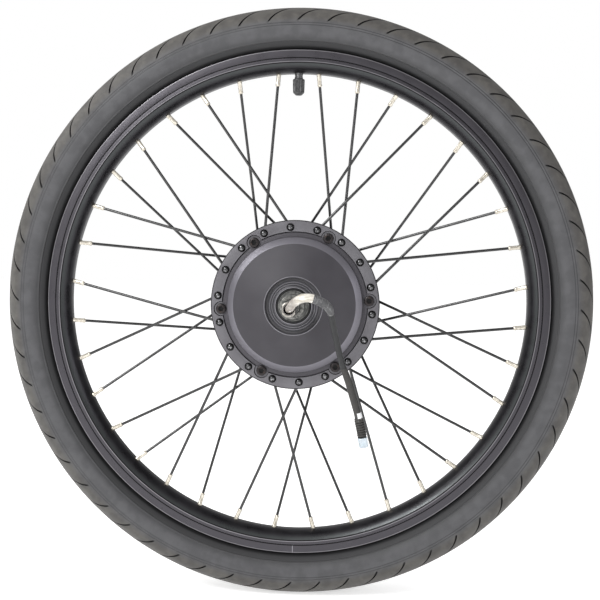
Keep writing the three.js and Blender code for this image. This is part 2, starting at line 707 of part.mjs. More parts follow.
// Three phase wires and the sensor wires, bundled: along the axle's bore and out to the coils.
const BUNDLE_R = 3.3;
const BUNDLE_BRANCH_R = 2.2;
const BUNDLE_SIDES = 8;
const bundleFrom = polar(0, 0, CABLE_ROUTE[0][1] + GAP);
const bundleTurn = polar(0, 0, WIRE_HOLE_Y);
const bundleEnd = polar(COIL_INNER_R - COIL_CLEARANCE, 0, WIRE_HOLE_Y);
const bundle = bar(bundleFrom, polar(0, 0, WIRE_HOLE_Y + 1), BUNDLE_R, BUNDLE_SIDES)
  .add(bar(bundleTurn, bundleEnd, BUNDLE_BRANCH_R, BUNDLE_SIDES));
place("phase_wires", bundle, copper);

// ---- Rotor ----

const CAN_FLOOR_THICKNESS = 3;
const canBoreR = AXLE_SHOULDER_R + 0.4;
const canInsideR = MAGNET_R + MAGNET_THICKNESS + GAP;
const canOutline = [
  [CAN_R, CAN_FRONT_Y],
  [CAN_R, CAN_FLOOR_Y + CAN_FLOOR_THICKNESS],
  [canBoreR, CAN_FLOOR_Y + CAN_FLOOR_THICKNESS],
  [canBoreR, CAN_FLOOR_Y],
  [canInsideR, CAN_FLOOR_Y],
  [canInsideR, CAN_FRONT_Y],
];
const magnets = ring(MAGNET_R, MAGNET_R + MAGNET_THICKNESS, CAN_FRONT_Y + 1, STATOR_REAR_Y, WHEEL_SIDES);
place("rotor_can", turned(canOutline, WHEEL_SIDES), canSteel);
place("rotor_magnets", magnets, magnetAlloy);

// ---- Gears ----

// A toothed outline with straight flanks, its first tooth centred on the first angle of the shape's
// own plane. A tooth is given by how far it stands out of and reaches into the pitch circle, in
// modules, and by half its width at tip and root, in pitches. A ring gear's bore is such an outline
// too, and its teeth are the gaps between the ring's own.
function toothed(PathClass, teeth, { out, into, tipHalf, rootHalf }) {
  const pitchR = (teeth * GEAR_MODULE) / 2;
  const tip = pitchR + out * GEAR_MODULE;
  const root = pitchR - into * GEAR_MODULE;
  const step = (2 * Math.PI) / teeth;
  const points = [];
  for (let i = 0; i < teeth; i++) {
    const corners = [[root, -rootHalf], [tip, -tipHalf], [tip, tipHalf], [root, rootHalf]];
    for (const [radius, offset] of corners) {
      const angle = (i + offset) * step;
      points.push(new THREE.Vector2(radius * Math.cos(angle), radius * Math.sin(angle)));
    }
  }
  return new PathClass(points);
}

// A gear's shape stood along the axle: its plane's first axis becomes clock angle 90.
function gearSolid(shape) {
  const geometry = new THREE.ExtrudeGeometry(shape, {
    depth: GEAR_REAR_Y - GEAR_FRONT_Y,
    bevelEnabled: false,
  });
  geometry.rotateX(-Math.PI / 2);
  geometry.translate(0, GEAR_FRONT_Y, 0);
  return solid(geometry);
}

const TOOTH = { out: 0.8, into: 1.1, tipHalf: 0.12, rootHalf: 0.27 };
const RING_SPACE = { out: 1.15, into: 0.8, tipHalf: 0.2, rootHalf: 0.37 };
const FIRST_AXIS = 90;
const PLANETS = 3;
const PLANET_DISTANCE = ((SUN_TEETH + PLANET_TEETH) * GEAR_MODULE) / 2;

// The sun has a tooth at the first planet, the planet a gap there, and the ring a gap behind it.
const sunTeeth = gearSolid(toothed(THREE.Shape, SUN_TEETH, TOOTH)).rotate([0, -FIRST_AXIS, 0]);
const sunCollar = axialBar(0, 0, CAN_FLOOR_Y, GEAR_FRONT_Y + 0.5, canBoreR - 0.4, SMALL_SIDES);
const sunBore = axialBar(0, 0, CAN_FLOOR_Y - THROUGH, GEAR_REAR_Y + THROUGH, AXLE_R + GAP, SMALL_SIDES);
place("sun_gear", sunTeeth.add(sunCollar).subtract(sunBore), gearSteel);

const ringShape = new THREE.Shape().absarc(0, 0, RING_GEAR_R, 0, 2 * Math.PI);
ringShape.holes.push(toothed(THREE.Path, RING_TEETH, RING_SPACE));
place("ring_gear", gearSolid(ringShape).rotate([0, -FIRST_AXIS, 0]), gearSteel);

const PLANET_BORE_R = 4.4;
const PIN_R = 4;
const PIN_SIDES = 12;
const pinHole = axialBar(0, 0, GEAR_FRONT_Y - THROUGH, GEAR_REAR_Y + THROUGH, PLANET_BORE_R, PIN_SIDES);
const planet = gearSolid(toothed(THREE.Shape, PLANET_TEETH, TOOTH))
  .rotate([0, -FIRST_AXIS, 0])
  .subtract(pinHole);
for (let i = 0; i < PLANETS; i++) {
  const angle = (360 / PLANETS) * i;
  const mesh = place(`planet_gear_${i + 1}`, planet, nylon, angle);
  mesh.position.copy(polar(PLANET_DISTANCE, angle, 0));
}

// The carrier holds the planets' pins and stands still with the axle while the motor drives.
const carrierPlate = ring(CLUTCH_R + GAP, CARRIER_R, CARRIER_FRONT_Y, CARRIER_REAR_Y, WHEEL_SIDES);
const planetPin = axialBar(PLANET_DISTANCE, 0, GEAR_FRONT_Y + 0.5, CARRIER_REAR_Y - 1, PIN_R, PIN_SIDES);
const clutch = ring(AXLE_R + GAP, CLUTCH_R, CARRIER_FRONT_Y, CARRIER_REAR_Y, SMALL_SIDES);
place("planet_carrier", forEachTurn(PLANETS, carrierPlate, planetPin, true), gearSteel);
place("one_way_clutch", clutch, bearingSteel);

// ---- Motor cable ----

const cableCurve = new THREE.CatmullRomCurve3(CABLE_ROUTE.map((point) => new THREE.Vector3(...point)));
const cableLength = cableCurve.getLength();

// A round tube over one stretch of the cable, given by lengths along its middle line. Its own path
// follows the cable's closely, so that the faces where stretches meet are square to the cable.
const PATH_POINTS_PER_STEP = 6;
function stretch(from, to, radius, steps, sides = 8) {
  const points = [];
  const pointCount = PATH_POINTS_PER_STEP * steps;
  for (let i = 0; i <= pointCount; i++) {
    const along = from + ((to - from) * i) / pointCount;
    points.push(cableCurve.getPointAt(along / cableLength));
  }
  const section = new THREE.Shape();
  for (let i = 0; i < sides; i++) {
    const angle = (2 * Math.PI * i) / sides;
    section[i ? "lineTo" : "moveTo"](radius * Math.cos(angle), radius * Math.sin(angle));
  }
  const extrudePath = new THREE.CatmullRomCurve3(points);
  return solid(new THREE.ExtrudeGeometry(section, { extrudePath, steps, bevelEnabled: false }));
}

const SLEEVE_END = 37.6;
const SHRINK_END = 60.8;
const CABLE_END = 110;
const BOOT_END = 147;
const PLUG_END = 166;
const JOIN = 0.4; // between one stretch and the next
place("cable_sleeve", stretch(0, SLEEVE_END, SLEEVE_R, 10), whiteSilicone);
place("heat_shrink", stretch(SLEEVE_END + JOIN, SHRINK_END, SHRINK_R, 6), greyShrink);
place("motor_cable", stretch(SHRINK_END + JOIN, CABLE_END, CABLE_R, 6), cableJacket);
place("connector_boot", stretch(CABLE_END + JOIN, BOOT_END, BOOT_R, 4), blackPlastic);
place("connector_body", stretch(BOOT_END + JOIN, PLUG_END, PLUG_R, 3, 10), blackPlastic);
place("connector_cap", stretch(PLUG_END + JOIN, cableLength, CAP_R, 2, 10), clearCap);

export default wheelMotor;
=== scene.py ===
"""Looks of the hub motor wheel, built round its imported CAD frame.

The frame is the CAD's: the axle runs along Y, the cable side faces -Y and the valve is at +Z. Clock
angles start at +Z and grow towards +X. Sizes are in millimetres until a mesh is made from them.
"""

import math  # noqa: E402

import bmesh  # noqa: E402
import bpy  # noqa: E402
import numpy as np  # noqa: E402
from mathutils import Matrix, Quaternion, Vector  # noqa: E402


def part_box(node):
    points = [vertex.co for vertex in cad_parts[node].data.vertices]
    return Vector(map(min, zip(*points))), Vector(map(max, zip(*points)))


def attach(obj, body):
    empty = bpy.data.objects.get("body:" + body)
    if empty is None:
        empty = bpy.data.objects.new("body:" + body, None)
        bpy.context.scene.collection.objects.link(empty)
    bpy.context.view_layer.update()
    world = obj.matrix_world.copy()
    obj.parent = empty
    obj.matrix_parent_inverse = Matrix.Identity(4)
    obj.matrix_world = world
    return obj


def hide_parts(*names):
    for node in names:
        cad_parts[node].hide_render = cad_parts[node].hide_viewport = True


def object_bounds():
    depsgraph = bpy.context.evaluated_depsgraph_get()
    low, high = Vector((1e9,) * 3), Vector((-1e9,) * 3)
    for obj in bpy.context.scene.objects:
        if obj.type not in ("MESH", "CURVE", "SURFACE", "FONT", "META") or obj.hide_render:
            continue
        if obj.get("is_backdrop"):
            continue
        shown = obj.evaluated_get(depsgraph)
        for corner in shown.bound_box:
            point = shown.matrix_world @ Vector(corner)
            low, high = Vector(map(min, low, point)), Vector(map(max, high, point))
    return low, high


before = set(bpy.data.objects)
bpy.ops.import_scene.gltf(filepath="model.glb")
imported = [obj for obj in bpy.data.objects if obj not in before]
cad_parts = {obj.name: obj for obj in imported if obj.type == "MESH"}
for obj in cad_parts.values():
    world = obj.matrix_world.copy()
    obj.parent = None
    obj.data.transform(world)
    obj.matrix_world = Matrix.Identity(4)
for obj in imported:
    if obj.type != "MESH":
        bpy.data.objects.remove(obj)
CAD_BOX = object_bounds()
MM = 0.001
TURN = 2 * math.pi

# ---- Places taken from the frame, in millimetres ----


def corner_mm(node, which):
    """The lowest (0) or highest (1) corner of a CAD node."""
    return Vector(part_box(node)[which]) / MM


TYRE_R = corner_mm("tyre", 1).z
RIM_R = corner_mm("rim", 1).z
RIM_HALF = corner_mm("rim", 1).y
FLANGE_R = corner_mm("hub_shell", 1).z
FLANGE_FACE_Y = corner_mm("hub_shell", 0).y
COVER_NOSE_Y = corner_mm("front_cover", 0).y
BEARING_Y = corner_mm("front_bearing_outer_ring", 0).y
REAR_BEARING_Y = corner_mm("rear_bearing_outer_ring", 1).y
SCREW_FACE_Y = corner_mm("cover_screw_1", 0).y
AXLE_FRONT_Y = corner_mm("axle", 0).y
AXLE_REAR_Y = corner_mm("axle", 1).y
CAP_END_R = corner_mm("valve_cap", 0).z
CAP_TOP_R = corner_mm("valve_cap", 1).z

# ---- Sizes shared by several pieces, in millimetres and degrees ----

RIM_INNER_R = 191.9
FLANGE_THICKNESS = 3.0
FLANGE_INNER_Y = FLANGE_FACE_Y + FLANGE_THICKNESS
REAR_FLANGE_Y = 31.1
SHELL_R = 60.0
SPOKE_R = 1.17
SPOKE_CIRCLE_R = 64.1
FRONT_SPOKE_Y = -13.6
REAR_SPOKE_Y = 29.6
RIM_STEP = 10.0
LEAN = 20.0
HUB_CLOCK = 1.2
PAIRS_PER_SIDE = 9
HEAD_AT = SPOKE_R + FLANGE_THICKNESS + 0.6  # from a spoke's line to the back of its head
HEADS_MIDDLE_Y = (FRONT_SPOKE_Y + REAR_SPOKE_Y) / 2
HEADS_HALF_SPAN = (REAR_SPOKE_Y - FRONT_SPOKE_Y) / 2 + HEAD_AT
FRONT_PAIR_ANGLE = 25.0
REAR_PAIR_ANGLE = 15.0
SCREW_CIRCLE_R = 61.3
SCREW_ANGLE = 26.2
SCREWS = 6
LOBE_R = 6.0
BEARING_R = 14.0
AXLE_R = 6.0

# ---- Camera, light and floor ----

CAMERA_AT = (0.0537, -0.7807, 0.0427)  # metres
CAMERA_FORWARD = (-0.0645, 0.9966, -0.0504)
CAMERA_ROLL = math.radians(0.68)
CAMERA_LENS = 55.7
LIT_FROM = (-0.72, -0.1, 0.69)  # the direction that most of the surround's light comes from


def new_object(name, data):
    made = bpy.data.objects.new(name, data)
    bpy.context.scene.collection.objects.link(made)
    return made


def add_camera():
    data = bpy.data.cameras.new("camera")
    data.lens = CAMERA_LENS
    data.sensor_width = 36.0
    camera = new_object("camera", data)
    aim = Vector(CAMERA_FORWARD).to_track_quat("-Z", "Y") @ Quaternion((0, 0, 1), CAMERA_ROLL)
    camera.rotation_mode = "QUATERNION"
    camera.rotation_quaternion = aim
    camera.location = CAMERA_AT
    bpy.context.scene.camera = camera


def add_area_light(name, location, size, power, color=(1, 1, 1)):
    """A round soft lamp that faces the wheel's centre and isn't seen itself."""
    data = bpy.data.lights.new(name, "AREA")
    data.shape = "DISK"
    data.size = size
    data.energy = power
    data.color = color
    lamp = new_object(name, data)
    lamp.location = location
    lamp.visible_camera = False
    lamp.rotation_mode = "QUATERNION"
    lamp.rotation_quaternion = (-Vector(location)).to_track_quat("-Z", "Y")


def add_world(seen, lit_side, dark_side):
    """A plain white surround. As a light it is brighter towards one side than the other."""
    world = bpy.data.worlds.new("surround")
    world.use_nodes = True
    tree = world.node_tree
    background = tree.nodes["Background"]
    direction = tree.nodes.new("ShaderNodeTexCoord").outputs["Generated"]
    facing = tree.nodes.new("ShaderNodeVectorMath")
    facing.operation = "DOT_PRODUCT"
    facing.inputs[1].default_value = LIT_FROM
    tree.links.new(direction, facing.inputs[0])
    lighting = tree.nodes.new("ShaderNodeMapRange")
    lighting.interpolation_type = "SMOOTHSTEP"
    for socket, value in zip(lighting.inputs[1:5], (-0.9, 0.9, dark_side, lit_side)):
        socket.default_value = value
    tree.links.new(facing.outputs["Value"], lighting.inputs["Value"])
    path = tree.nodes.new("ShaderNodeLightPath")
    strength = tree.nodes.new("ShaderNodeMapRange")
    strength.inputs["To Max"].default_value = seen
    tree.links.new(path.outputs["Is Camera Ray"], strength.inputs["Value"])
    tree.links.new(lighting.outputs["Result"], strength.inputs["To Min"])
    tree.links.new(strength.outputs["Result"], background.inputs["Strength"])
    background.inputs["Color"].default_value = (1.0, 1.0, 1.0, 1.0)
    bpy.context.scene.world = world


add_camera()
add_world(seen=1.0, lit_side=0.72, dark_side=0.17)
add_area_light("key", (-0.8, -1.2, 1.1), 0.55, 15)
add_area_light("left", (-1.3, -0.22, -0.7), 0.6, 6, (0.93, 1.0, 0.93))
add_area_light("high_left", (-1.25, -0.12, 1.0), 0.8, 8)
add_area_light("right", (1.3, -0.6, 0.35), 0.6, 3, (0.97, 0.96, 1.0))
add_area_light("front", (-0.55, -1.3, 0.45), 0.45, 3)
add_area_light("behind", (-1.35, 0.3, -0.45), 0.7, 5, (0.91, 1.0, 0.92))
bpy.context.scene.view_settings.view_transform = "Standard"

# ---- Shape helpers ----


class Line:
    """A curve kept as close points and looked up by the length along it."""

    def __init__(self, points):
        self.points = np.array(points, float)
        steps = np.linalg.norm(np.diff(self.points, axis=0), axis=1)
        self.along = np.concatenate([[0.0], np.cumsum(steps)])
        self.length = float(self.along[-1])

    def at(self, along):
        columns = [np.interp(along, self.along, column) for column in self.points.T]
        return np.stack(columns, axis=-1)

    def directions(self, along, reach=0.25):
        ahead = self.at(np.minimum(along + reach, self.length))
        behind = self.at(np.maximum(along - reach, 0.0))
        difference = ahead - behind
        return difference / np.linalg.norm(difference, axis=-1, keepdims=True)


def curve_through(points, per_span=12):
    """A centripetal Catmull-Rom curve through points of two or three coordinates."""
    known = [np.array(point, float) for point in points]
    known = [2 * known[0] - known[1], *known, 2 * known[-1] - known[-2]]
    line = []
    for a, b, c, d in zip(known, known[1:], known[2:], known[3:]):
        t1 = math.sqrt(np.linalg.norm(b - a))
        t2 = t1 + math.sqrt(np.linalg.norm(c - b))
        t3 = t2 + math.sqrt(np.linalg.norm(d - c))
        for t in np.linspace(t1, t2, per_span, endpoint=False):
            ab = a * (t1 - t) / t1 + b * t / t1
            bc = b * (t2 - t) / (t2 - t1) + c * (t - t1) / (t2 - t1)
            cd = c * (t3 - t) / (t3 - t2) + d * (t - t2) / (t3 - t2)
            left = ab * (t2 - t) / t2 + bc * t / t2
            right = bc * (t3 - t) / (t3 - t1) + cd * (t - t1) / (t3 - t1)
            line.append(left * (t2 - t) / (t2 - t1) + right * (t - t1) / (t2 - t1))
    line.append(known[-2])
    return line


def rounded(corners, radius, closed=True, steps=3):
    """An outline whose corners are short curves. A corner's third number is a radius of its own."""
    points = []
    for i, corner in enumerate(corners):
        here = Vector(corner[:2])
        own = corner[2] if len(corner) > 2 else radius
        if own == 0 or (not closed and i in (0, len(corners) - 1)):
            points.append(here)
            continue
        before = Vector(corners[i - 1][:2]) - here
        after = Vector(corners[(i + 1) % len(corners)][:2]) - here
        start = here + before.normalized() * min(own, 0.45 * before.length)
        end = here + after.normalized() * min(own, 0.45 * after.length)
        for t in np.linspace(0, 1, steps + 1):
            points.append(start * (1 - t) ** 2 + here * 2 * t * (1 - t) + end * t * t)
    return [tuple(point) for point in points]


def polar(radius, degrees, y=0.0):
    angle = math.radians(degrees)
    return np.array([radius * math.sin(angle), y, radius * math.cos(angle)])


def ring_points(radius, y, angle):
    """Points round the axle; radius and y are numbers, or arrays that go with the angles."""
    return np.stack([radius * np.sin(angle), y + 0 * angle, radius * np.cos(angle)], axis=-1)


def skin(rings, closed):
    """The points and quads of a surface through rings of points. Closed joins last ring to first."""
    rows, columns, _ = rings.shape
    index = np.arange(rows * columns).reshape(rows, columns)
    beside = np.roll(index, -1, axis=1)
    quads = np.stack([index, beside, np.roll(beside, -1, axis=0), np.roll(index, -1, axis=0)], axis=-1)
    if not closed:
        quads = quads[:-1]
    return rings.reshape(-1, 3), quads.reshape(-1, 4)


def turned(outline, segments):
    """A closed outline of [radius, y] turned about the axle."""
    angle = np.arange(segments) * TURN / segments
    radius, y = np.array(outline, float).T
    return skin(ring_points(radius[:, None], y[:, None], angle), closed=True)


def swept(line, profile, segments, shape=None):
    """A solid round a line, from [length along it, radius] pairs, with closed ends.

    shape(angle, radius, along) may give the radius another value round the line.
    """
    profile = [(profile[0][0], 0), *profile, (profile[-1][0], 0)]
    along, radius = np.array(profile, float).T
    centres = line.at(along)
    directions = line.directions(along)
    angle = np.arange(segments) * TURN / segments
    side = np.cross(directions[0], [0, 1, 0] if abs(directions[0][1]) < 0.9 else [1, 0, 0])
    rings = []
    for centre, direction, size, place in zip(centres, directions, radius, along):
        side = side - direction * (side @ direction)
        side = side / np.linalg.norm(side)
        other = np.cross(direction, side)
        reach = np.full(segments, size) if shape is None else shape(angle, size, place)
        rings.append(centre + np.outer(reach * np.cos(angle), side) + np.outer(reach * np.sin(angle), other))
    return skin(np.array(rings), closed=False)


def straight(origin, direction, length):
    start = np.array(origin, float)
    unit = np.array(direction, float) / np.linalg.norm(direction)
    return Line([start, start + unit * length])


def joined(*solids):
    """Several [points, faces] solids as one."""
    points, faces, count = [], [], 0
    for solid_points, solid_faces in solids:
        points.append(solid_points)
        faces.append(solid_faces + count)
        count += len(solid_points)
    return np.concatenate(points), np.concatenate(faces)


def turned_copies(solid, count, first=0.0, step=None):
    """A solid repeated round the axle."""
    points, faces = solid
    step = 360 / count if step is None else step
    copies = []
    for i in range(count):
        angle = math.radians(first + step * i)
        x = points[:, 0] * math.cos(angle) + points[:, 2] * math.sin(angle)
        z = points[:, 2] * math.cos(angle) - points[:, 0] * math.sin(angle)
        copies.append((np.stack([x, points[:, 1], z], axis=-1), faces))
    return joined(*copies)


def mesh_object(name, solid, look, smooth_below=32, other_look=None, other_faces=None):
    """A Blender object from a solid in millimetres, smooth except at its sharp edges.

    other_faces marks the faces that get the other look.
    """
    points, faces = solid
    mesh = bpy.data.meshes.new(name)
    mesh.from_pydata((points * MM).tolist(), [], faces.tolist())
    mesh.materials.append(LOOKS[look])
    if other_look is not None:
        mesh.materials.append(LOOKS[other_look])
        mesh.polygons.foreach_set("material_index", np.asarray(other_faces, int))
    edit = bmesh.new()
    edit.from_mesh(mesh)
    bmesh.ops.remove_doubles(edit, verts=edit.verts, dist=1e-7)
    bmesh.ops.dissolve_degenerate(edit, edges=edit.edges, dist=1e-8)
    bmesh.ops.recalc_face_normals(edit, faces=edit.faces)
    edit.to_mesh(mesh)
    edit.free()
    mesh.shade_smooth()
    mesh.set_sharp_from_angle(angle=math.radians(smooth_below))
    return new_object(name, mesh)


def sharing_mesh(first, name, count):
    """The first object, and others that share its mesh and are named name_2, name_3 and on."""
    yield first
    for number in range(2, count + 1):
        yield new_object(f"{name}_{number}", first.data)


def combine(body, operation, solid, look, smooth_below=32):
    """Cuts a solid from a body, or joins it to the body; the faces it leaves have its own look."""
    tool = mesh_object("tool", solid, look)
    modifier = body.modifiers.new("combine", "BOOLEAN")
    modifier.operation = operation
    modifier.object = tool
    modifier.solver = "EXACT"
    modifier.material_mode = "TRANSFER"
    evaluated = body.evaluated_get(bpy.context.evaluated_depsgraph_get())
    mesh = bpy.data.meshes.new_from_object(evaluated)
    body.modifiers.clear()
    body.data = mesh
    bpy.data.objects.remove(tool)
    mesh.shade_smooth()
    mesh.set_sharp_from_angle(angle=math.radians(smooth_below))


def place(made, body, slot, *nodes):
    """Makes a piece move with its body and stand for CAD nodes, which it hides; slot is not used."""
    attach(made, body)
    if nodes:
        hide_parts(*nodes)
    return made


def turned_piece(name, outline, look, segments, body, slot, *nodes):
    """A piece turned about the axle from corners that are rounded a little, put in its place."""
    return place(mesh_object(name, turned(rounded(outline, 0.2), segments), look), body, slot, *nodes)


# ---- Material helpers ----


def rgb(code):
    """A linear colour from a six-digit code such as "8a8f94"."""
    values = [int(code[i : i + 2], 16) / 255 for i in (0, 2, 4)]
    return (*[v / 12.92 if v < 0.04045 else ((v + 0.055) / 1.055) ** 2.4 for v in values], 1.0)


class Look:
    """A procedural material: its nodes, made with short calls and joined to one Principled shader."""

    def __init__(self, name, roughness=0.5, metallic=0.0, **uniform):
        self.material = bpy.data.materials.new(name)
        self.material.use_nodes = True
        self.tree = self.material.node_tree
        self.shader = self.tree.nodes["Principled BSDF"]
        self.shader.inputs["Roughness"].default_value = roughness
        self.shader.inputs["Metallic"].default_value = metallic
        for socket, value in uniform.items():
            self.shader.inputs[socket.replace("_", " ")].default_value = value
        self.place = self.tree.nodes.new("ShaderNodeTexCoord").outputs["Object"]
        self.normal = None

    def feed(self, socket, value):
        if isinstance(value, bpy.types.NodeSocket):
            self.tree.links.new(value, socket)
        else:
            socket.default_value = value

    def math(self, operation, *values):
        node = self.tree.nodes.new("ShaderNodeMath")
        node.operation = operation
        for socket, value in zip(node.inputs, values):
            self.feed(socket, value)
        return node.outputs[0]

    def times(self, one, other):
        """The product of two values."""
        return self.math("MULTIPLY", one, other)

    def noise(self, size_mm, detail=3.0, stretch=None):
        """Noise from 0 to 1 with features of a size, which stretch makes longer along an axis."""
        node = self.tree.nodes.new("ShaderNodeTexNoise")
        node.inputs["Scale"].default_value = 1 / (size_mm * MM)
        node.inputs["Detail"].default_value = detail
        where = self.place
        if stretch is not None:
            scaled = self.tree.nodes.new("ShaderNodeVectorMath")
            scaled.operation = "MULTIPLY"
            scaled.inputs[1].default_value = stretch
            self.feed(scaled.inputs[0], self.place)
            where = scaled.outputs[0]
        self.feed(node.inputs["Vector"], where)
        return node.outputs[0]

    def axle_distance(self):
        """How far the surface is from the axle's line, in millimetres."""
        flat = self.tree.nodes.new("ShaderNodeVectorMath")
        flat.operation = "MULTIPLY"
        flat.inputs[1].default_value = (1 / MM, 0, 1 / MM)
        self.feed(flat.inputs[0], self.place)
        length = self.tree.nodes.new("ShaderNodeVectorMath")
        length.operation = "LENGTH"
        self.feed(length.inputs[0], flat.outputs[0])
        return length.outputs["Value"]

    def coordinate(self, axis):
        """One coordinate of the surface, in millimetres."""
        split = self.tree.nodes.new("ShaderNodeSeparateXYZ")
        self.feed(split.inputs[0], self.place)
        return self.times(split.outputs["XYZ".index(axis)], 1 / MM)

    def rise(self, value, low, high):
        """0 below low and 1 above high, with a smooth step between; low may be over high."""
        node = self.tree.nodes.new("ShaderNodeMapRange")
        node.interpolation_type = "SMOOTHSTEP"
        for socket, number in zip(node.inputs, (value, low, high)):
            self.feed(socket, number)
        return node.outputs["Result"]

    def band(self, value, low, high, blur):
        """1 between low and high, and 0 outside."""
        up = self.rise(value, low - blur, low + blur)
        down = self.rise(value, high + blur, high - blur)
        return self.times(up, down)

    def bands(self, value, ranges, blur):
        """1 inside either of two ranges, and 0 outside both."""
        return self.math("MAXIMUM", *[self.band(value, low, high, blur) for low, high in ranges])

    def wave(self, value, pitch):
        """A wave from 0 to 1 that repeats each time value grows by the pitch."""
        phase = self.times(value, TURN / pitch)
        return self.math("MULTIPLY_ADD", self.math("SINE", phase), 0.5, 0.5)

    def mix(self, amount, one, other):
        """A colour between two others, which may be given as six-digit codes."""
        node = self.tree.nodes.new("ShaderNodeMix")
        node.data_type = "RGBA"
        self.feed(node.inputs[0], amount)
        for socket, value in ((node.inputs[6], one), (node.inputs[7], other)):
            self.feed(socket, rgb(value) if isinstance(value, str) else value)
        return node.outputs[2]

    def blend(self, amount, one, other):
        """A number between one and other."""
        node = self.tree.nodes.new("ShaderNodeMix")
        self.feed(node.inputs[0], amount)
        self.feed(node.inputs[2], one)
        self.feed(node.inputs[3], other)
        return node.outputs[0]

    def bump(self, height, height_mm):
        """Adds relief of so many millimetres where height goes from 0 to 1."""
        node = self.tree.nodes.new("ShaderNodeBump")
        node.inputs["Distance"].default_value = height_mm * MM
        self.feed(node.inputs["Height"], height)
        if self.normal is not None:
            self.feed(node.inputs["Normal"], self.normal)
        self.normal = node.outputs["Normal"]
        self.feed(self.shader.inputs["Normal"], self.normal)

    def color(self, value):
        self.feed(self.shader.inputs["Base Color"], value)

    def rough(self, value, low, high):
        """Roughness that goes from low to high as value goes from 0 to 1."""
        node = self.tree.nodes.new("ShaderNodeMapRange")
        for socket, number in zip(node.inputs, (value, 0.0, 1.0, low, high)):
            self.feed(socket, number)
        self.feed(self.shader.inputs["Roughness"], node.outputs["Result"])


def mottled(name, one, other, size_mm, rough=(0.4, 0.6), grain_mm=0.8, relief_mm=0.02, **uniform):
    """A material of two close colours in soft patches, with a fine grain over them."""
    look = Look(name, **uniform)
    patches = look.rise(look.noise(size_mm), 0.3, 0.7)
    grain = look.noise(grain_mm, detail=5.0)
    look.color(look.mix(patches, one, other))
    look.rough(look.times(look.math("ADD", patches, grain), 0.5), *rough)
    look.bump(grain, relief_mm)
    return look.material


def machined(name, one, other, pitch_mm=0.4, rough=(0.25, 0.45), relief_mm=0.01):
    """Bare metal with turning marks round the axle."""
    look = Look(name, metallic=1.0)
    wander = look.times(look.noise(6.0), 1.5)
    marks = look.wave(look.math("ADD", look.axle_distance(), wander), pitch_mm)
    cloud = look.rise(look.noise(3.0), 0.3, 0.7)
    look.color(look.mix(cloud, one, other))
    look.rough(look.times(look.math("ADD", marks, cloud), 0.5), *rough)
    look.bump(marks, relief_mm)
    return look.material


# ---- Materials ----

TREAD_FROM_R = 231.0
# Painted shade: the sidewall is darker from here in towards the rim
WALL_PAINTED_SHADE_R = (213.0, 221.0)
# Painted shade: dark lines at the sidewall's two fine grooves
WALL_GROOVE_SHADE_R = ((226.9, 227.5), (228.9, 229.5))
# Painted shade: near black where the tyre meets the rim
BEAD_PAINTED_SHADE_R = (212.8, 211.0)


def tyre_rubber():
    look = Look("tyre_rubber", Specular_IOR_Level=0.28)
    distance = look.axle_distance()
    tread = look.rise(distance, TREAD_FROM_R - 3, TREAD_FROM_R + 4)
    patches = look.rise(look.noise(9.0, detail=5.0), 0.35, 0.65)
    dust = look.times(look.rise(look.noise(5.0, detail=6.0), 0.5, 0.75), tread)
    grain = look.noise(0.5, detail=4.0)
    outer_wall = look.mix(patches, "49494b", "515153")
    # Painted shade: the sidewall darkens below the bead rib, towards the rim
    sidewall = look.mix(look.rise(distance, *WALL_PAINTED_SHADE_R), "3a3a3b", outer_wall)
    crown = look.mix(patches, "464442", "514f4c")
    worn = look.mix(look.times(dust, 0.3), look.mix(tread, sidewall, crown), "6a6661")
    # Painted shade: two dark lines painted at the sidewall's two fine grooves
    lines = look.bands(distance, WALL_GROOVE_SHADE_R, 0.15)
    ruled = look.mix(look.times(lines, 0.55), worn, "242424")
    # Painted shade: a near-black line on the tyre where it meets the rim
    bead = look.rise(distance, *BEAD_PAINTED_SHADE_R)
    look.color(look.mix(bead, ruled, "161617"))
    look.rough(look.math("MULTIPLY_ADD", dust, 0.5, look.times(grain, 0.5)), 0.46, 0.74)
    look.bump(grain, 0.05)
    look.bump(look.noise(9.0), 0.25)
    return look.material


BRAKE_TRACK_R = (203.3, 209.6)
LEDGE_R = (199.5, 202.4)
# Painted highlights: light lines on the ledge's inner edge and the track's outer edge
EDGE_HIGHLIGHTS_R = ((199.6, 200.2), (208.7, 209.3))
# Painted highlight: the outer part of the rim's sloped side is lighter
SLOPE_HIGHLIGHT_R = (195.0, 197.8)
# Painted shade: near black from here outwards, outside the track and ledge
GROOVE_SHADE_FROM_R = (198.6, 199.0)
RIM_SEAM_HALF_WIDTH = 0.22


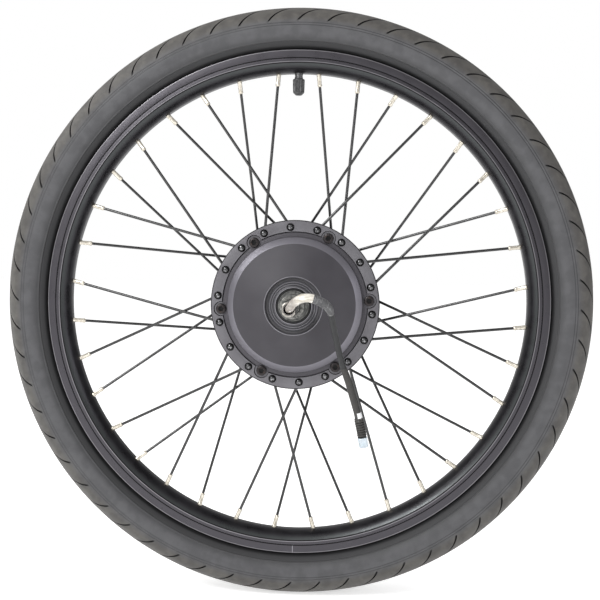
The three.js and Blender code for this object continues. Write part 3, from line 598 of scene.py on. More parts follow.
def rim_alloy():
    """Dark anodised metal: a turned brake track and ledge; painted highlights on their edges and the outer
    slope, painted shade in the grooves.
    """
    look = Look("rim_alloy", metallic=0.75)
    distance = look.axle_distance()
    wander = look.times(look.noise(5.0), 0.6)
    marks = look.wave(look.math("ADD", distance, wander), 0.55)
    track = look.band(distance, *BRAKE_TRACK_R, 0.2)
    ledge = look.band(distance, *LEDGE_R, 0.2)
    cloud = look.rise(look.noise(12.0), 0.3, 0.7)
    inner_slope = look.mix(cloud, "2a292c", "333235")
    # Painted highlight: a lighter band on the outer part of the sloped side
    slope_with_highlight = look.mix(look.rise(distance, *SLOPE_HIGHLIGHT_R), inner_slope, "3e4041")
    # Painted shade: near black in the grooves beside the ledge and round the outer edge
    groove_shaded = look.mix(look.rise(distance, *GROOVE_SHADE_FROM_R), slope_with_highlight, "1a191b")
    turned_metal = look.mix(marks, "403e42", "4c4a4f")
    turned = look.mix(look.math("MAXIMUM", track, ledge), groove_shaded, turned_metal)
    # Painted highlights: light lines along the edges of the ledge and the track
    edges = look.bands(distance, EDGE_HIGHLIGHTS_R, 0.1)
    shown = look.mix(look.times(edges, 0.7), turned, "8b898d")
    across = look.math("ABSOLUTE", look.coordinate("X"))
    thin = look.rise(across, RIM_SEAM_HALF_WIDTH + 0.1, RIM_SEAM_HALF_WIDTH - 0.1)
    seam = look.times(thin, look.rise(look.coordinate("Z"), 0.0, -10.0))
    look.color(look.mix(look.times(seam, track), shown, "97949a"))
    look.rough(look.math("MULTIPLY_ADD", marks, 0.4, look.times(cloud, 0.6)), 0.26, 0.38)
    look.bump(look.times(marks, track), 0.005)
    look.bump(look.noise(0.6, detail=4.0), 0.004)
    return look.material


# Zones of the hub by distance from the axle: from, to, two colours, metallic, roughness
HUB_ZONES = (
    (13.0, 22.7, "5a595d", "3e3d41", 0.5, 0.4),
    # Painted highlights: the next three rows are light rings on the crests of the recess floor
    (14.6, 15.1, "8b8a8e", "6f6e73", 0.6, 0.36),
    (17.0, 17.7, "8e8d92", "747378", 0.6, 0.32),
    (18.9, 19.4, "7c7b80", "626166", 0.5, 0.38),
    # Painted shade: darker floor at the foot of the recess wall
    (20.8, 22.8, "48474a", "39383b", 0.2, 0.5),
    # Painted highlight: a light ring on the recess's lip
    (23.5, 23.9, "8c8b90", "7b7a7f", 0.6, 0.35),
    (50.3, 55.8, "85838a", "7c7a81", 0.8, 0.42),
    # Painted shade: the dark groove where the cover sits below the flange
    (55.8, 60.4, "4b494e", "413f44", 0.4, 0.4),
    (60.4, 69.1, "6c6b6f", "626064", 0.55, 0.38),
    (69.1, 75.0, "1c1b1e", "171619", 0.3, 0.45),
)
HUB_TURNED_R = ((13.0, 22.7), (50.3, 60.4))  # where the hub shows turning marks


def hub_paint():
    """Satin charcoal: turned metal on the cone and the recess, a lighter flange with a dark edge; painted
    highlights and shade in the recess and round the cover.
    """
    look = Look("hub_paint")
    distance = look.axle_distance()
    speck = look.noise(0.45, detail=4.0)
    cloud = look.rise(look.noise(22.0), 0.3, 0.7)
    marks = look.wave(distance, 0.75)
    turned_zone = look.bands(distance, HUB_TURNED_R, 0.2)
    shade = look.mix(turned_zone, cloud, marks)
    color = look.mix(cloud, "333136", "39373c")
    metallic, roughness = 0.1, 0.58
    for low, high, one, other, zone_metallic, zone_roughness in HUB_ZONES:
        zone = look.band(distance, low, high, 0.12)
        color = look.mix(zone, color, look.mix(shade, one, other))
        metallic = look.blend(zone, metallic, zone_metallic)
        roughness = look.blend(zone, roughness, zone_roughness)
    look.color(color)
    look.feed(look.shader.inputs["Metallic"], metallic)
    grain = look.math("MULTIPLY_ADD", speck, 0.12, roughness)
    look.feed(look.shader.inputs["Roughness"], look.math("SUBTRACT", grain, 0.06))
    look.bump(speck, 0.012)
    look.bump(look.times(marks, turned_zone), 0.02)
    return look.material


def spoke_black():
    """Black spokes with a fine gloss; the tops of their heads have a painted highlight in patches."""
    look = Look("spoke_black", Coat_Weight=0.5, Coat_Roughness=0.08)
    streaks = look.noise(1.4, detail=4.0)
    worn = look.times(look.rise(streaks, 0.62, 0.75), 0.2)
    from_middle = look.math("ABSOLUTE", look.math("SUBTRACT", look.coordinate("Y"), HEADS_MIDDLE_Y))
    head = look.rise(from_middle, HEADS_HALF_SPAN - 0.1, HEADS_HALF_SPAN + 0.1)
    # Painted highlight: light patches on the top of each head's dome
    glint_top = look.rise(from_middle, HEADS_HALF_SPAN + 1.6, HEADS_HALF_SPAN + 1.88)
    bright = look.times(glint_top, look.rise(look.noise(0.9, detail=2.0), 0.42, 0.56))
    dome = look.mix(bright, "161617", "88888a")
    look.color(look.mix(head, look.mix(worn, "0d0d0e", "4b4b4e"), dome))
    look.feed(look.shader.inputs["Metallic"], head)
    look.feed(look.shader.inputs["Roughness"], look.math("MULTIPLY_ADD", head, -0.14, 0.28))
    look.bump(look.noise(0.3), 0.006)
    return look.material


def screw_black():
    """A worn black finish, with painted shade that makes it darkest in the socket and round the head's side.
    """
    look = Look("screw_black", metallic=0.6)
    rust = look.rise(look.noise(1.6, detail=5.0), 0.5, 0.72)
    face = look.mix(look.times(rust, 0.6), "2b2728", "453830")
    # Painted shade: near black in the socket and round the head's side
    socket_shade = look.rise(look.coordinate("Y"), SCREW_FACE_Y + 0.2, SCREW_FACE_Y + 0.5)
    look.color(look.mix(socket_shade, face, "0b0b0c"))
    look.rough(rust, 0.35, 0.6)
    look.bump(look.noise(0.5), 0.02)
    return look.material


def silicone():
    """A glossy cream sleeve, stained grey where it leaves the axle."""
    look = Look(
        "silicone",
        roughness=0.24,
        Subsurface_Weight=0.15,
        Subsurface_Radius=(0.003, 0.0028, 0.0024),
        Coat_Weight=0.6,
        Coat_Roughness=0.15,
    )
    smear = look.rise(look.noise(1.4, detail=4.0, stretch=(0.22, 0.5, 1)), 0.38, 0.62)
    clean = look.rise(look.coordinate("X"), 3.0, 9.0)
    fresh = look.mix(smear, "e0dcd3", "b3ada1")
    stained = look.mix(smear, "8e8882", "a39c94")
    look.color(look.mix(clean, stained, fresh))
    look.bump(look.noise(1.6), 0.08)
    return look.material


def heat_shrink():
    look = Look("heat_shrink", Specular_IOR_Level=0.4)
    creases = look.noise(2.0, detail=3.0)
    seams = look.band(look.noise(4.0, detail=2.0), 0.5, 0.54, 0.02)
    film = look.mix(look.rise(creases, 0.3, 0.7), "464648", "59595a")
    look.color(look.mix(look.times(seams, 0.6), film, "8f8f90"))
    look.rough(look.noise(1.0), 0.42, 0.6)
    look.bump(creases, 0.15)
    return look.material


def clear_plastic():
    look = Look("clear_plastic", roughness=0.25, Transmission_Weight=0.55, IOR=1.45)
    haze = look.rise(look.noise(2.5), 0.3, 0.7)
    look.color(look.mix(haze, "ecf4fa", "dbe8f1"))
    look.bump(look.noise(0.9), 0.03)
    return look.material


def copper_wire():
    look = Look("copper_wire", metallic=0.9, Coat_Weight=0.6)
    wires = look.wave(look.axle_distance(), 0.9)
    look.color(look.mix(wires, "6e3418", "b0662f"))
    look.rough(look.noise(1.0), 0.25, 0.45)
    look.bump(wires, 0.25)
    return look.material


def laminated():
    look = Look("laminated", metallic=0.8)
    stack = look.wave(look.coordinate("Y"), 0.5)
    look.color(look.mix(stack, "5b5d60", "84868a"))
    look.rough(look.noise(2.0), 0.4, 0.6)
    look.bump(stack, 0.05)
    return look.material


def axle_zinc():
    """Dull mottled zinc, with a bright cut face at the end that the cable leaves."""
    look = Look("axle_zinc", metallic=0.75)
    cloud = look.rise(look.noise(1.5, detail=4.0), 0.35, 0.65)
    cut = look.rise(look.coordinate("Y"), AXLE_FRONT_Y + 1.1, AXLE_FRONT_Y + 0.5)
    dull = look.mix(cloud, "8c8b87", "535452")
    look.color(look.mix(cut, dull, look.mix(cloud, "b9b4ac", "918d86")))
    look.rough(cloud, 0.26, 0.45)
    look.bump(cloud, 0.02)
    return look.material


def woven_tape():
    look = Look("woven_tape", roughness=0.85, Sheen_Weight=0.3)
    warp = look.math("SINE", look.times(look.coordinate("Y"), TURN / 0.6))
    weft = look.noise(0.5, stretch=(1, 3, 1))
    weave = look.math("MULTIPLY_ADD", warp, 0.25, look.times(weft, 0.5))
    look.color(look.mix(weave, "8a2f2a", "b4554b"))
    look.bump(weave, 0.1)
    return look.material


LOOKS = {
    "tyre": tyre_rubber(),
    "rim": rim_alloy(),
    "hub": hub_paint(),
    "spoke": spoke_black(),
    "screw": screw_black(),
    "silicone": silicone(),
    "shrink": heat_shrink(),
    "clear": clear_plastic(),
    "copper": copper_wire(),
    "laminated": laminated(),
    "tape": woven_tape(),
    "nipple": mottled("nipple_plate", "ddd7cb", "bdb6a8", 2.0, (0.16, 0.3), 0.6, 0.006, metallic=0.6),
    "zinc": mottled("zinc_plate", "8c8b87", "535452", 1.6, (0.28, 0.5), 0.5, 0.05, metallic=0.7),
    "steel": machined("bearing_steel", "c4c5c8", "a2a4a8", 0.3, (0.15, 0.3)),
    "gear": machined("gear_steel", "9a9da2", "7c7f84", 0.6, (0.3, 0.5)),
    "can": machined("can_steel", "84878c", "6b6e73", 0.8, (0.3, 0.5)),
    "magnet": mottled("magnet_plate", "9a9ca0", "84868a", 5.0, (0.2, 0.35), metallic=1.0),
    "alloy": mottled("bare_alloy", "b4b6b9", "9c9ea2", 4.0, (0.3, 0.5), metallic=1.0),
    "mark": mottled("white_mark", "e8e9ea", "d8dadb", 1.0, (0.4, 0.5), 0.5, 0.02),
    # Painted shade: a near-black look for the walls of sipes, pockets, spoke holes and the bore
    "hole": mottled("hole_painted_shade", "0e0e0f", "161617", 1.0, (0.5, 0.7), 0.5, 0.02),
    "race": mottled("race_black", "141415", "1f1f20", 2.0, (0.35, 0.5), 0.5, 0.02, metallic=0.3),
    "butyl": mottled("butyl", "1b1b1c", "262627", 3.0, (0.35, 0.5)),
    "cap": mottled("cap_plastic", "333334", "454546", 2.0, (0.3, 0.45)),
    "stem": mottled("stem_rubber", "49494a", "6c6c6d", 2.0, (0.2, 0.35), metallic=0.5),
    "seal": mottled("seal_rubber", "3d3e3d", "757572", 2.0, (0.45, 0.7), 0.6, 0.08),
    "gasket": mottled("gasket_paper", "6d6a5c", "7d7969", 2.0, (0.85, 0.95)),
    "nylon": mottled("nylon", "d9d4c4", "cdc7b5", 6.0, (0.4, 0.55), Subsurface_Weight=0.1),
    "board": mottled("solder_mask", "1f5a36", "27683f", 3.0, (0.25, 0.4)),
    "plug": mottled("plug_plastic", "282727", "35332f", 1.5, (0.35, 0.55), 0.5, 0.03),
    "jacket": mottled(
        "cable_jacket",
        "191a1b",
        "232425",
        3.0,
        (0.3, 0.4),
        0.7,
        0.005,
        Specular_IOR_Level=0.25,
        Coat_Weight=0.4,
        Coat_Roughness=0.1,
    ),
    "axle": axle_zinc(),
}

# ---- Cable ----

EXIT_ALONG = 12.2  # from the route's start, inside the bore, to the mouth of the axle
SLEEVE_END = 37.6
SHRINK_END = 60.8
CABLE_END = 110.0
BOOT_END = 147.0
PLUG_START = 150.0
PLUG_END = 166.0
CABLE_R = 2.4
SLEEVE_R = 3.4
SHRINK_R = 3.6
BOOT_R = 2.9
PLUG_R = 3.75
CAP_R = 3.9
CABLE_ROUTE = [
    (0, -72, 0),
    (0, -76, 0),
    (0.2, -80.2, 0.3),
    (1.4, -85, 1.6),
    (4.7, -90.9, 5.7),
    (10.9, -93.8, 9.2),
    (17.8, -94.4, 9.3),
    (23.2, -93, 7.3),
    (27.8, -89, 4.6),
    (30.5, -84.6, 1.1),
    (32.7, -79.6, -6.4),
    (33.9, -75.5, -13.3),
    (35.2, -72.2, -19.8),
    (36.6, -69.5, -26.3),
    (38, -67.7, -32.7),
    (39.6, -66.1, -39.1),
    (41.5, -64.4, -45.4),
    (43.8, -62.8, -51.6),
    (46.1, -61.1, -57.9),
    (48.3, -59.9, -64.2),
    (50.3, -59.4, -70.4),
    (51.9, -59.1, -76.8),
    (53.3, -58.6, -83.2),
    (54.8, -58.2, -89.7),
    (56.2, -57.8, -96.1),
    (57.3, -57.4, -102.7),
    (58.6, -57, -109.2),
]
CABLE = Line(curve_through(CABLE_ROUTE))


def cable_jacket():
    """The cable from the mouth of the axle to well inside the plug, as a round curve."""
    stations = np.arange(EXIT_ALONG, BOOT_END + 3, 1.5)
    data = bpy.data.curves.new("cable", "CURVE")
    data.dimensions = "3D"
    data.bevel_depth = CABLE_R * MM
    data.bevel_resolution = 6
    data.use_fill_caps = True
    spline = data.splines.new("POLY")
    spline.points.add(len(stations) - 1)
    for point, place_mm in zip(spline.points, CABLE.at(stations)):
        point.co = (*(place_mm * MM), 1)
    data.materials.append(LOOKS["jacket"])
    return new_object("cable", data), float(stations[-1] - stations[0])


def along_cable(name, profile, look, slot, *nodes, segments=40, shape=None):
    """A solid round the cable's line, on the body that holds the cable."""
    return place(mesh_object(name, swept(CABLE, profile, segments, shape), look), "axle", slot, *nodes)


def sleeve_profile():
    """A soft sleeve, a little fuller in places, that ends inside the heat shrink."""
    end = SLEEVE_END + 1.5
    profile = [(0.5, SLEEVE_R - 0.3)]
    for along in np.arange(1.5, end - 1.0, 1.0):
        profile.append((along, SLEEVE_R - 0.07 + 0.06 * math.sin(along * 0.9)))
    return [*profile, (end - 0.5, SLEEVE_R - 0.1), (end, SLEEVE_R - 0.5)]


def ease(share):
    """A share from 0 to 1 that starts and ends softly."""
    return share * share * (3 - 2 * share)


def shrink_profile():
    """Creased heat shrink that grips the sleeve at one end and steps down to the cable."""
    start = SLEEVE_END - 0.3
    profile = [(start, SHRINK_R - 0.15), (start + 0.3, SHRINK_R + 0.05)]
    for along in np.arange(start + 0.9, SHRINK_END - 8, 0.7):
        crease = 0.1 * math.sin(along * 1.7) + 0.1 * math.sin(along * 4.3)
        profile.append((along, SHRINK_R - 0.1 + crease))
    narrowing = CABLE_R + 0.35 - SHRINK_R
    for share in np.linspace(0, 1, 12):
        profile.append((SHRINK_END - 7 + 6 * share, SHRINK_R - 0.1 + narrowing * ease(share)))
    return [*profile, (SHRINK_END - 0.4, CABLE_R + 0.2)]


def boot_profile():
    """A moulded boot that is a little thicker than the cable."""
    start = CABLE_END - 2
    profile = [(start, CABLE_R + 0.05)]
    widening = BOOT_R - 0.2 - CABLE_R
    for share in np.linspace(0, 1, 16):
        profile.append((start + 0.8 + share * 12, CABLE_R + 0.2 + widening * ease(share)))
    end = BOOT_END - 1.5
    return [*profile, (end - 0.4, BOOT_R), (end, BOOT_R - 0.4)]


def neck_profile():
    return [(BOOT_END - 2.0, 2.85), (PLUG_START + 0.8, 2.85)]


def mark_profile():
    return [(BOOT_END - 1.4, 0), (BOOT_END - 1.2, 3.15), (PLUG_START + 1.2, 3.3), (PLUG_START + 1.4, 0)]


def mark_outline(angle, radius, along):
    """The white mark covers the front and right of the neck, and elsewhere stays under it."""
    covered = (angle < 1.75) | (angle > 5.6)
    return np.where(covered, radius, min(radius, 2.2))


RIB_PITCH = 1.9
RIBS = 7


def plug_profile():
    """The plug's body: a smooth collar, then fine grip ribs."""
    start = PLUG_START
    profile = [(start, PLUG_R - 0.7), (start + 0.3, PLUG_R - 0.3), (start + 1.6, PLUG_R - 0.3)]
    rib = ((0, 0.1), (0.15, 0), (0.95, 0), (1.1, 0.1), (1.25, 0.9), (1.7, 0.9))  # along, depth
    for i in range(RIBS):
        low = start + 1.9 + i * RIB_PITCH
        profile += [(low + along, PLUG_R - depth) for along, depth in rib]
    return [*profile, (PLUG_END - 0.6, PLUG_R - 0.1), (PLUG_END - 0.2, PLUG_R - 0.4)]


def flats(angle, radius, along):
    """Six shallow grip flats round the plug."""
    return radius - 0.16 * np.maximum(0, np.cos(angle * 6)) ** 2 * (radius > PLUG_R - 0.5)


def cap_profile():
    """A thin cap with a rolled lip over the plug and a domed end."""
    start = PLUG_END
    end = CABLE.length - 0.2
    lip = [(start, CAP_R - 0.4), (start + 0.4, CAP_R), (start + 1.4, CAP_R), (start + 1.8, CAP_R - 0.15)]
    dome = [(end - 1.2, CAP_R - 0.2), (end - 0.5, CAP_R - 0.5), (end - 0.15, CAP_R - 1.1)]
    return [*lip, *dome, (end, CAP_R - 2.2)]


def add_cable():
    jacket, length = cable_jacket()
    place(jacket, "axle", "cable_jacket", "motor_cable")
    sleeve = along_cable("sleeve", sleeve_profile(), "silicone", "white_silicone", "cable_sleeve")
    shrink = along_cable("shrink", shrink_profile(), "shrink", "grey_shrink", "heat_shrink")
    boot = along_cable("boot", boot_profile(), "plug", "black_plastic", "connector_boot")
    plug = along_cable(
        "plug", plug_profile(), "plug", "black_plastic", "connector_body", segments=72, shape=flats
    )
    cap = along_cable("plug_cap", cap_profile(), "clear", "clear_cap", "connector_cap")
    neck = along_cable("plug_neck", neck_profile(), "plug", "black_plastic")
    mark = along_cable(
        "plug_mark", mark_profile(), "mark", "white_silicone", segments=48, shape=mark_outline
    )
    tuple(CABLE.at(EXIT_ALONG) * MM)


add_cable()

# ---- Tyre ----

SIPES = 60
TYRE_HALF = corner_mm("tyre", 1).y
SIPE_FROM = 29.0  # along the tyre's skin from the middle of the tread to a sipe's inner end
SIPE_TO = 3.0
SIPE_SWEEP = 7.4  # degrees that a sipe runs round the tyre
SIPE_DEPTH = 1.6
SIPE_EDGE = 0.23  # degrees from a sipe's middle to its edge
SIPE_COLUMNS = (-0.36, -SIPE_EDGE, -0.14, 0.14, SIPE_EDGE, 0.36, 1.1, 2.0, 2.9, 3.8, 4.7)  # degrees
TYRE_COLUMNS = np.array([i * 360 / SIPES + offset for i in range(SIPES) for offset in SIPE_COLUMNS])
BEAD_RIBS = ((215.6, 0.45, 0.45), (227.6, 0.5, -0.22), (229.4, 0.5, -0.22))  # radius, half-width, height
# Half of the tyre's skin and of its inside as [radius, distance from the middle]
TYRE_OUTSIDE = [
    (TYRE_R, 0.0),
    (245.0, 5.0),
    (243.3, 10.6),
    (240.3, 15.6),
    (236.0, 19.6),
    (230.0, 22.0),
    (224.0, TYRE_HALF),
    (218.6, 20.9),
    (214.4, 17.4),
    (211.4, 13.2),
    (209.7, 10.3),
    (205.0, 9.5),
]
TYRE_INSIDE = [(205.0, 6.2), (213.0, 13.2), (224.0, 19.6), (235.0, 14.5), (240.2, 0.0)]


def tyre_stations(section):
    """Lengths along the half section: even steps, and close ones at the ribs and the shoulder."""
    along = list(np.arange(0.0, section.length, 1.1))
    for radius, half_width, _ in BEAD_RIBS:
        at = float(np.interp(-radius, -section.points[:, 0], section.along))
        along += [at + half_width * share for share in (-1.6, -1.0, -0.5, 0.5, 1.0, 1.6)]
    along += [SIPE_FROM + step for step in (-0.5, 0.0, 0.4)]
    along.append(section.length)
    return np.array(sorted(along))


def tyre_rings():
    """Rings of points from bead to bead over the tread, with ribs, edge lines and sipes."""
    section = Line(curve_through(TYRE_OUTSIDE))
    along = tyre_stations(section)
    radius, out = section.at(along).T
    heading = section.directions(along)
    normal_r, normal_y = heading[:, 1], -heading[:, 0]
    lift = np.zeros(len(along))
    for rib_radius, half_width, height in BEAD_RIBS:
        at = np.interp(-rib_radius, -section.points[:, 0], section.along)
        lift += height * np.clip(1.5 - np.abs(along - at) / half_width, 0, 1)
    radius = radius + normal_r * lift
    out = out + normal_y * lift
    share = np.clip((SIPE_FROM - along) / (SIPE_FROM - SIPE_TO), 0, None)
    sweep = SIPE_SWEEP * share**1.3
    fade_in = np.clip((SIPE_FROM - along) / 5.0, 0, 1)
    fade_out = np.clip((along - SIPE_TO) / 3.0, 0, 1)
    depth = SIPE_DEPTH * fade_in * fade_out
    in_sipe = np.array([abs(offset) < SIPE_EDGE for offset in SIPE_COLUMNS] * SIPES, float)
    half = []
    for side in (-1, 1):
        angle = np.radians(TYRE_COLUMNS[None, :] + sweep[:, None])
        cut = depth[:, None] * in_sipe[None, :]
        ring_r = radius[:, None] - normal_r[:, None] * cut
        ring_y = side * (out[:, None] - normal_y[:, None] * cut)
        half.append(ring_points(ring_r, ring_y, angle))
    # The sipes' walls and floors, which take painted shade
    walls = np.array([-SIPE_EDGE <= offset < SIPE_EDGE - 0.01 for offset in SIPE_COLUMNS] * SIPES)
    cut_rows = np.concatenate([depth[::-1], depth[1:]]) > 0.2
    return half[0][::-1], half[1][1:], cut_rows[:, None] & walls[None, :]


def add_tyre():
    front, rear, sipe_faces = tyre_rings()
    inner_half = curve_through(TYRE_INSIDE, 4)
    inner_outline = [*inner_half, *[(radius, -y) for radius, y in inner_half[-2::-1]]]
    inside = [ring_points(radius, y, np.radians(TYRE_COLUMNS)) for radius, y in inner_outline]
    rings = np.concatenate([front, rear, np.array(inside)])
    # Painted shade: dark marks the sipe faces, which take the black hole look
    dark = np.zeros(rings.shape[:2], bool)
    dark[: len(sipe_faces)] = sipe_faces
    cover = skin(rings, closed=True)
    tyre = mesh_object("tyre_cover", cover, "tyre", 40, other_look="hole", other_faces=dark.ravel())
    place(tyre, "wheel", "tyre_rubber", "tyre")


add_tyre()

# ---- Rim ----

RIM_SEGMENTS = 360


def rim_outline():
    """The rim's section: brake track, groove, ledge, sloped side and bed, with its two beads."""
    side = [
        (RIM_INNER_R, 3.6, 2.0),
        (RIM_INNER_R + 2.7, 8.8, 3.0),
        (198.6, 11.9, 1.6),
        (199.1, 11.9, 0.2),
        (199.3, RIM_HALF, 0.2),
        (202.5, RIM_HALF, 0.2),
        (202.6, RIM_HALF - 0.5, 0.1),
        (203.1, RIM_HALF - 0.5, 0.1),
        (203.2, RIM_HALF, 0.2),
        (RIM_R, RIM_HALF, 0.5),
        (RIM_R, RIM_HALF - 1.7, 0.5),
        (203.4, 10.2, 0.5),
        (202.6, 6.2, 1.0),
        (200.6, 4.4, 1.0),
    ]
    mirror = [(radius, -y, curve) for radius, y, curve in side[::-1]]
    return rounded([*side, *mirror], 0.3)


def add_rim():
    rim = mesh_object("rim_extrusion", turned(rim_outline(), RIM_SEGMENTS), "rim", 25)
    place(rim, "wheel", "rim_alloy", "rim")


add_rim()

# ---- Spokes and nipples ----

NIPPLE_R = 1.95
NIPPLE_LENGTH = 10.0
NIPPLE_SUNK = 0.5  # from the start of a nipple's line to the rim's inner face
FLATS_ALONG = (2.3, 8.4)  # where a nipple's wrench flats start and end along its line
NIPPLE_FLAT_R = 1.72
HEAD_R = 2.65
HEAD_HEIGHT = 1.9
BEND_R = 2.0
CROSSING_BOW = 1.25  # how far a spoke bows off its line where it passes its partner


def pair_ends(flange_y):
    """Elbow and rim entry of the two spokes that cross, for a pair centred on clock angle 0."""
    ends = []
    for side in (1, -1):
        elbow = polar(SPOKE_CIRCLE_R, side * (RIM_STEP - LEAN) + HUB_CLOCK, flange_y)
        ends.append((elbow, polar(RIM_INNER_R, side * RIM_STEP)))
    return ends


def crossing_share(one, other):
    """How far along the first of two spokes they cross, seen along the axle, as a share."""
    (a, b), (c, d) = [(ends[0][[0, 2]], ends[1][[0, 2]]) for ends in (one, other)]
    system = np.column_stack([b - a, c - d])
    return float(np.linalg.solve(system, c - a)[0])


def spoke_path(elbow, entry, outward, cross, bow):
    """A spoke's middle line: through the flange, round the elbow, past its partner, into the rim."""
    direction = (entry - elbow) / np.linalg.norm(entry - elbow)
    shank = np.array([0.0, outward, 0.0])
    path = [elbow + shank * HEAD_AT]
    for t in np.linspace(0, 1, 7):
        start, end = elbow + shank * BEND_R, elbow + direction * BEND_R
        path.append(start * (1 - t) ** 2 + elbow * 2 * t * (1 - t) + end * t * t)
    middle = elbow + (entry - elbow) * cross
    for offset, share in ((-12, 0.75), (-4, 0.97), (4, 0.97), (12, 0.75)):
        path.append(middle + direction * offset + shank * bow * share)
    path.append(entry + direction * 1.0)
    return path


def spoke_solid(path, outward):
    """A spoke's round wire, with a low domed head on its outward end."""
    line = Line(path)
    wire = swept(line, [(along, SPOKE_R) for along in line.along], 12)
    head_line = straight(path[0], (0, outward, 0), HEAD_HEIGHT + 1)
    dome = [(0, HEAD_R - 0.2), (0.25, HEAD_R)]
    for turn in np.linspace(0, TURN / 4, 7):
        height = 0.6 + (HEAD_HEIGHT - 0.6) * math.sin(turn)
        dome.append((height, HEAD_R * math.cos(turn) ** 0.7))
    return joined(wire, swept(head_line, dome, 20))


def wrench_flats(angle, radius, along):
    """Four flats on the middle of a nipple."""
    start, end = FLATS_ALONG
    if not start <= along <= end:
        return np.full(len(angle), radius)
    quarter = (angle + TURN / 8) % (TURN / 4) - TURN / 8
    return np.minimum(radius, NIPPLE_FLAT_R / np.cos(quarter))


def nipple_solid(elbow, entry):
    """A nipple round a spoke's line, from just inside the rim to its narrowed end."""
    out = (entry - elbow) / np.linalg.norm(entry - elbow)
    start, end = FLATS_ALONG
    tip = NIPPLE_LENGTH + NIPPLE_SUNK
    profile = [(along, NIPPLE_R) for along in (0.1, start - 0.3, start, end, end + 0.4)]
    profile += [(tip - 0.9, NIPPLE_R - 0.05), (tip - 0.3, NIPPLE_R - 0.3), (tip, NIPPLE_R - 0.6)]
    line = straight(entry + out * NIPPLE_SUNK, -out, NIPPLE_LENGTH + 2)
    return swept(line, profile, 24, wrench_flats)


def add_spokes(side, flange_y, outward, first_angle):
    """The pairs of one side share a mesh, and each stands for its CAD node."""
    one, other = pair_ends(flange_y)
    share = crossing_share(one, other)
    other_share = crossing_share(other, one)
    outer = spoke_solid(spoke_path(*one, outward, share, CROSSING_BOW), outward)
    inner = spoke_solid(spoke_path(*other, outward, other_share, -CROSSING_BOW), outward)
    first = mesh_object(f"{side}_spokes_1", joined(outer, inner), "spoke", 40)
    for i, pair in enumerate(sharing_mesh(first, f"{side}_spokes", PAIRS_PER_SIDE)):
        degrees = first_angle + 360 / PAIRS_PER_SIDE * i
        pair.rotation_euler = (0, math.radians(degrees), 0)
        place(pair, "wheel", "black_steel", f"{side}_spoke_pair_{i + 1}")
    nipples = turned_copies(joined(nipple_solid(*one), nipple_solid(*other)), PAIRS_PER_SIDE, first_angle)
    place(mesh_object(f"{side}_nipples", nipples, "nipple", 30), "wheel", "bare_alloy")


add_spokes("front", FRONT_SPOKE_Y, -1, FRONT_PAIR_ANGLE)
add_spokes("rear", REAR_SPOKE_Y, 1, REAR_PAIR_ANGLE)

# ---- Hub shell, cover and screws ----

HUB_SEGMENTS = 240
COVER_FACE_Y = FLANGE_FACE_Y + 1.3
COVER_BACK_Y = COVER_FACE_Y + 1.6
COVER_SEAT_Y = -14.0
BOSS_R = 7.2
RECESS_R = 22.8
SOCKET_R = 1.9


def at_screws(profile, segments):
    """Round solids on the lines of the cover's screws, from [y, radius] pairs."""
    start = profile[0][0]
    line = straight(polar(SCREW_CIRCLE_R, SCREW_ANGLE, start), (0, 1, 0), profile[-1][0] - start + 1)
    return turned_copies(swept(line, [(y - start, radius) for y, radius in profile], segments), SCREWS)


def shell_outline():
    rear_face = REAR_FLANGE_Y + FLANGE_THICKNESS
    return rounded(
        [
            (FLANGE_R, FLANGE_FACE_Y, 0.5),
            (FLANGE_R, FLANGE_INNER_Y, 0.5),
            (SHELL_R + 2.6, FLANGE_INNER_Y, 2.0),
            (SHELL_R, FLANGE_INNER_Y + 3.4, 2.0),
            (SHELL_R, REAR_FLANGE_Y - 3.4, 2.0),
            (SHELL_R + 2.6, REAR_FLANGE_Y, 2.0),
            (FLANGE_R, REAR_FLANGE_Y, 0.5),
            (FLANGE_R, rear_face, 0.5),
            (SHELL_R, rear_face, 1.5),
            (58.2, rear_face + 0.5, 0.5),
            (50.0, 40.2, 2.5),
            (26.0, REAR_BEARING_Y - 0.3, 1.0),
            (24.0, REAR_BEARING_Y + 0.3, 0.4),
            (BEARING_R + 0.3, REAR_BEARING_Y + 0.3, 0.3),
            (BEARING_R + 0.3, REAR_BEARING_Y - 8.3, 0.2),
            (11.5, REAR_BEARING_Y - 8.3, 0.2),
            (11.5, 36.2, 0.2),
            (45.0, 36.2, 1.0),
            (53.3, 32.0, 1.0),
            (53.3, COVER_SEAT_Y, 0.2),
            (SHELL_R + 0.35, COVER_SEAT_Y, 0.2),
            (SHELL_R + 0.35, FLANGE_FACE_Y, 0.35),
        ],
        0.3,
    )


def elbow_hole(face_y, outward):
    """A cutter for one spoke hole, countersunk at the flange's outer face."""
    depth = FLANGE_THICKNESS + 3
    radius = SPOKE_R + 0.35
    profile = [(-1, 3.45), (0, 3.3), (0.5, 2.8), (1.6, radius + 0.25), (depth, radius)]
    line = straight(polar(SPOKE_CIRCLE_R, HUB_CLOCK, face_y + outward), (0, -outward, 0), depth + 3)
    return swept(line, [(along + 1, own) for along, own in profile], 20)


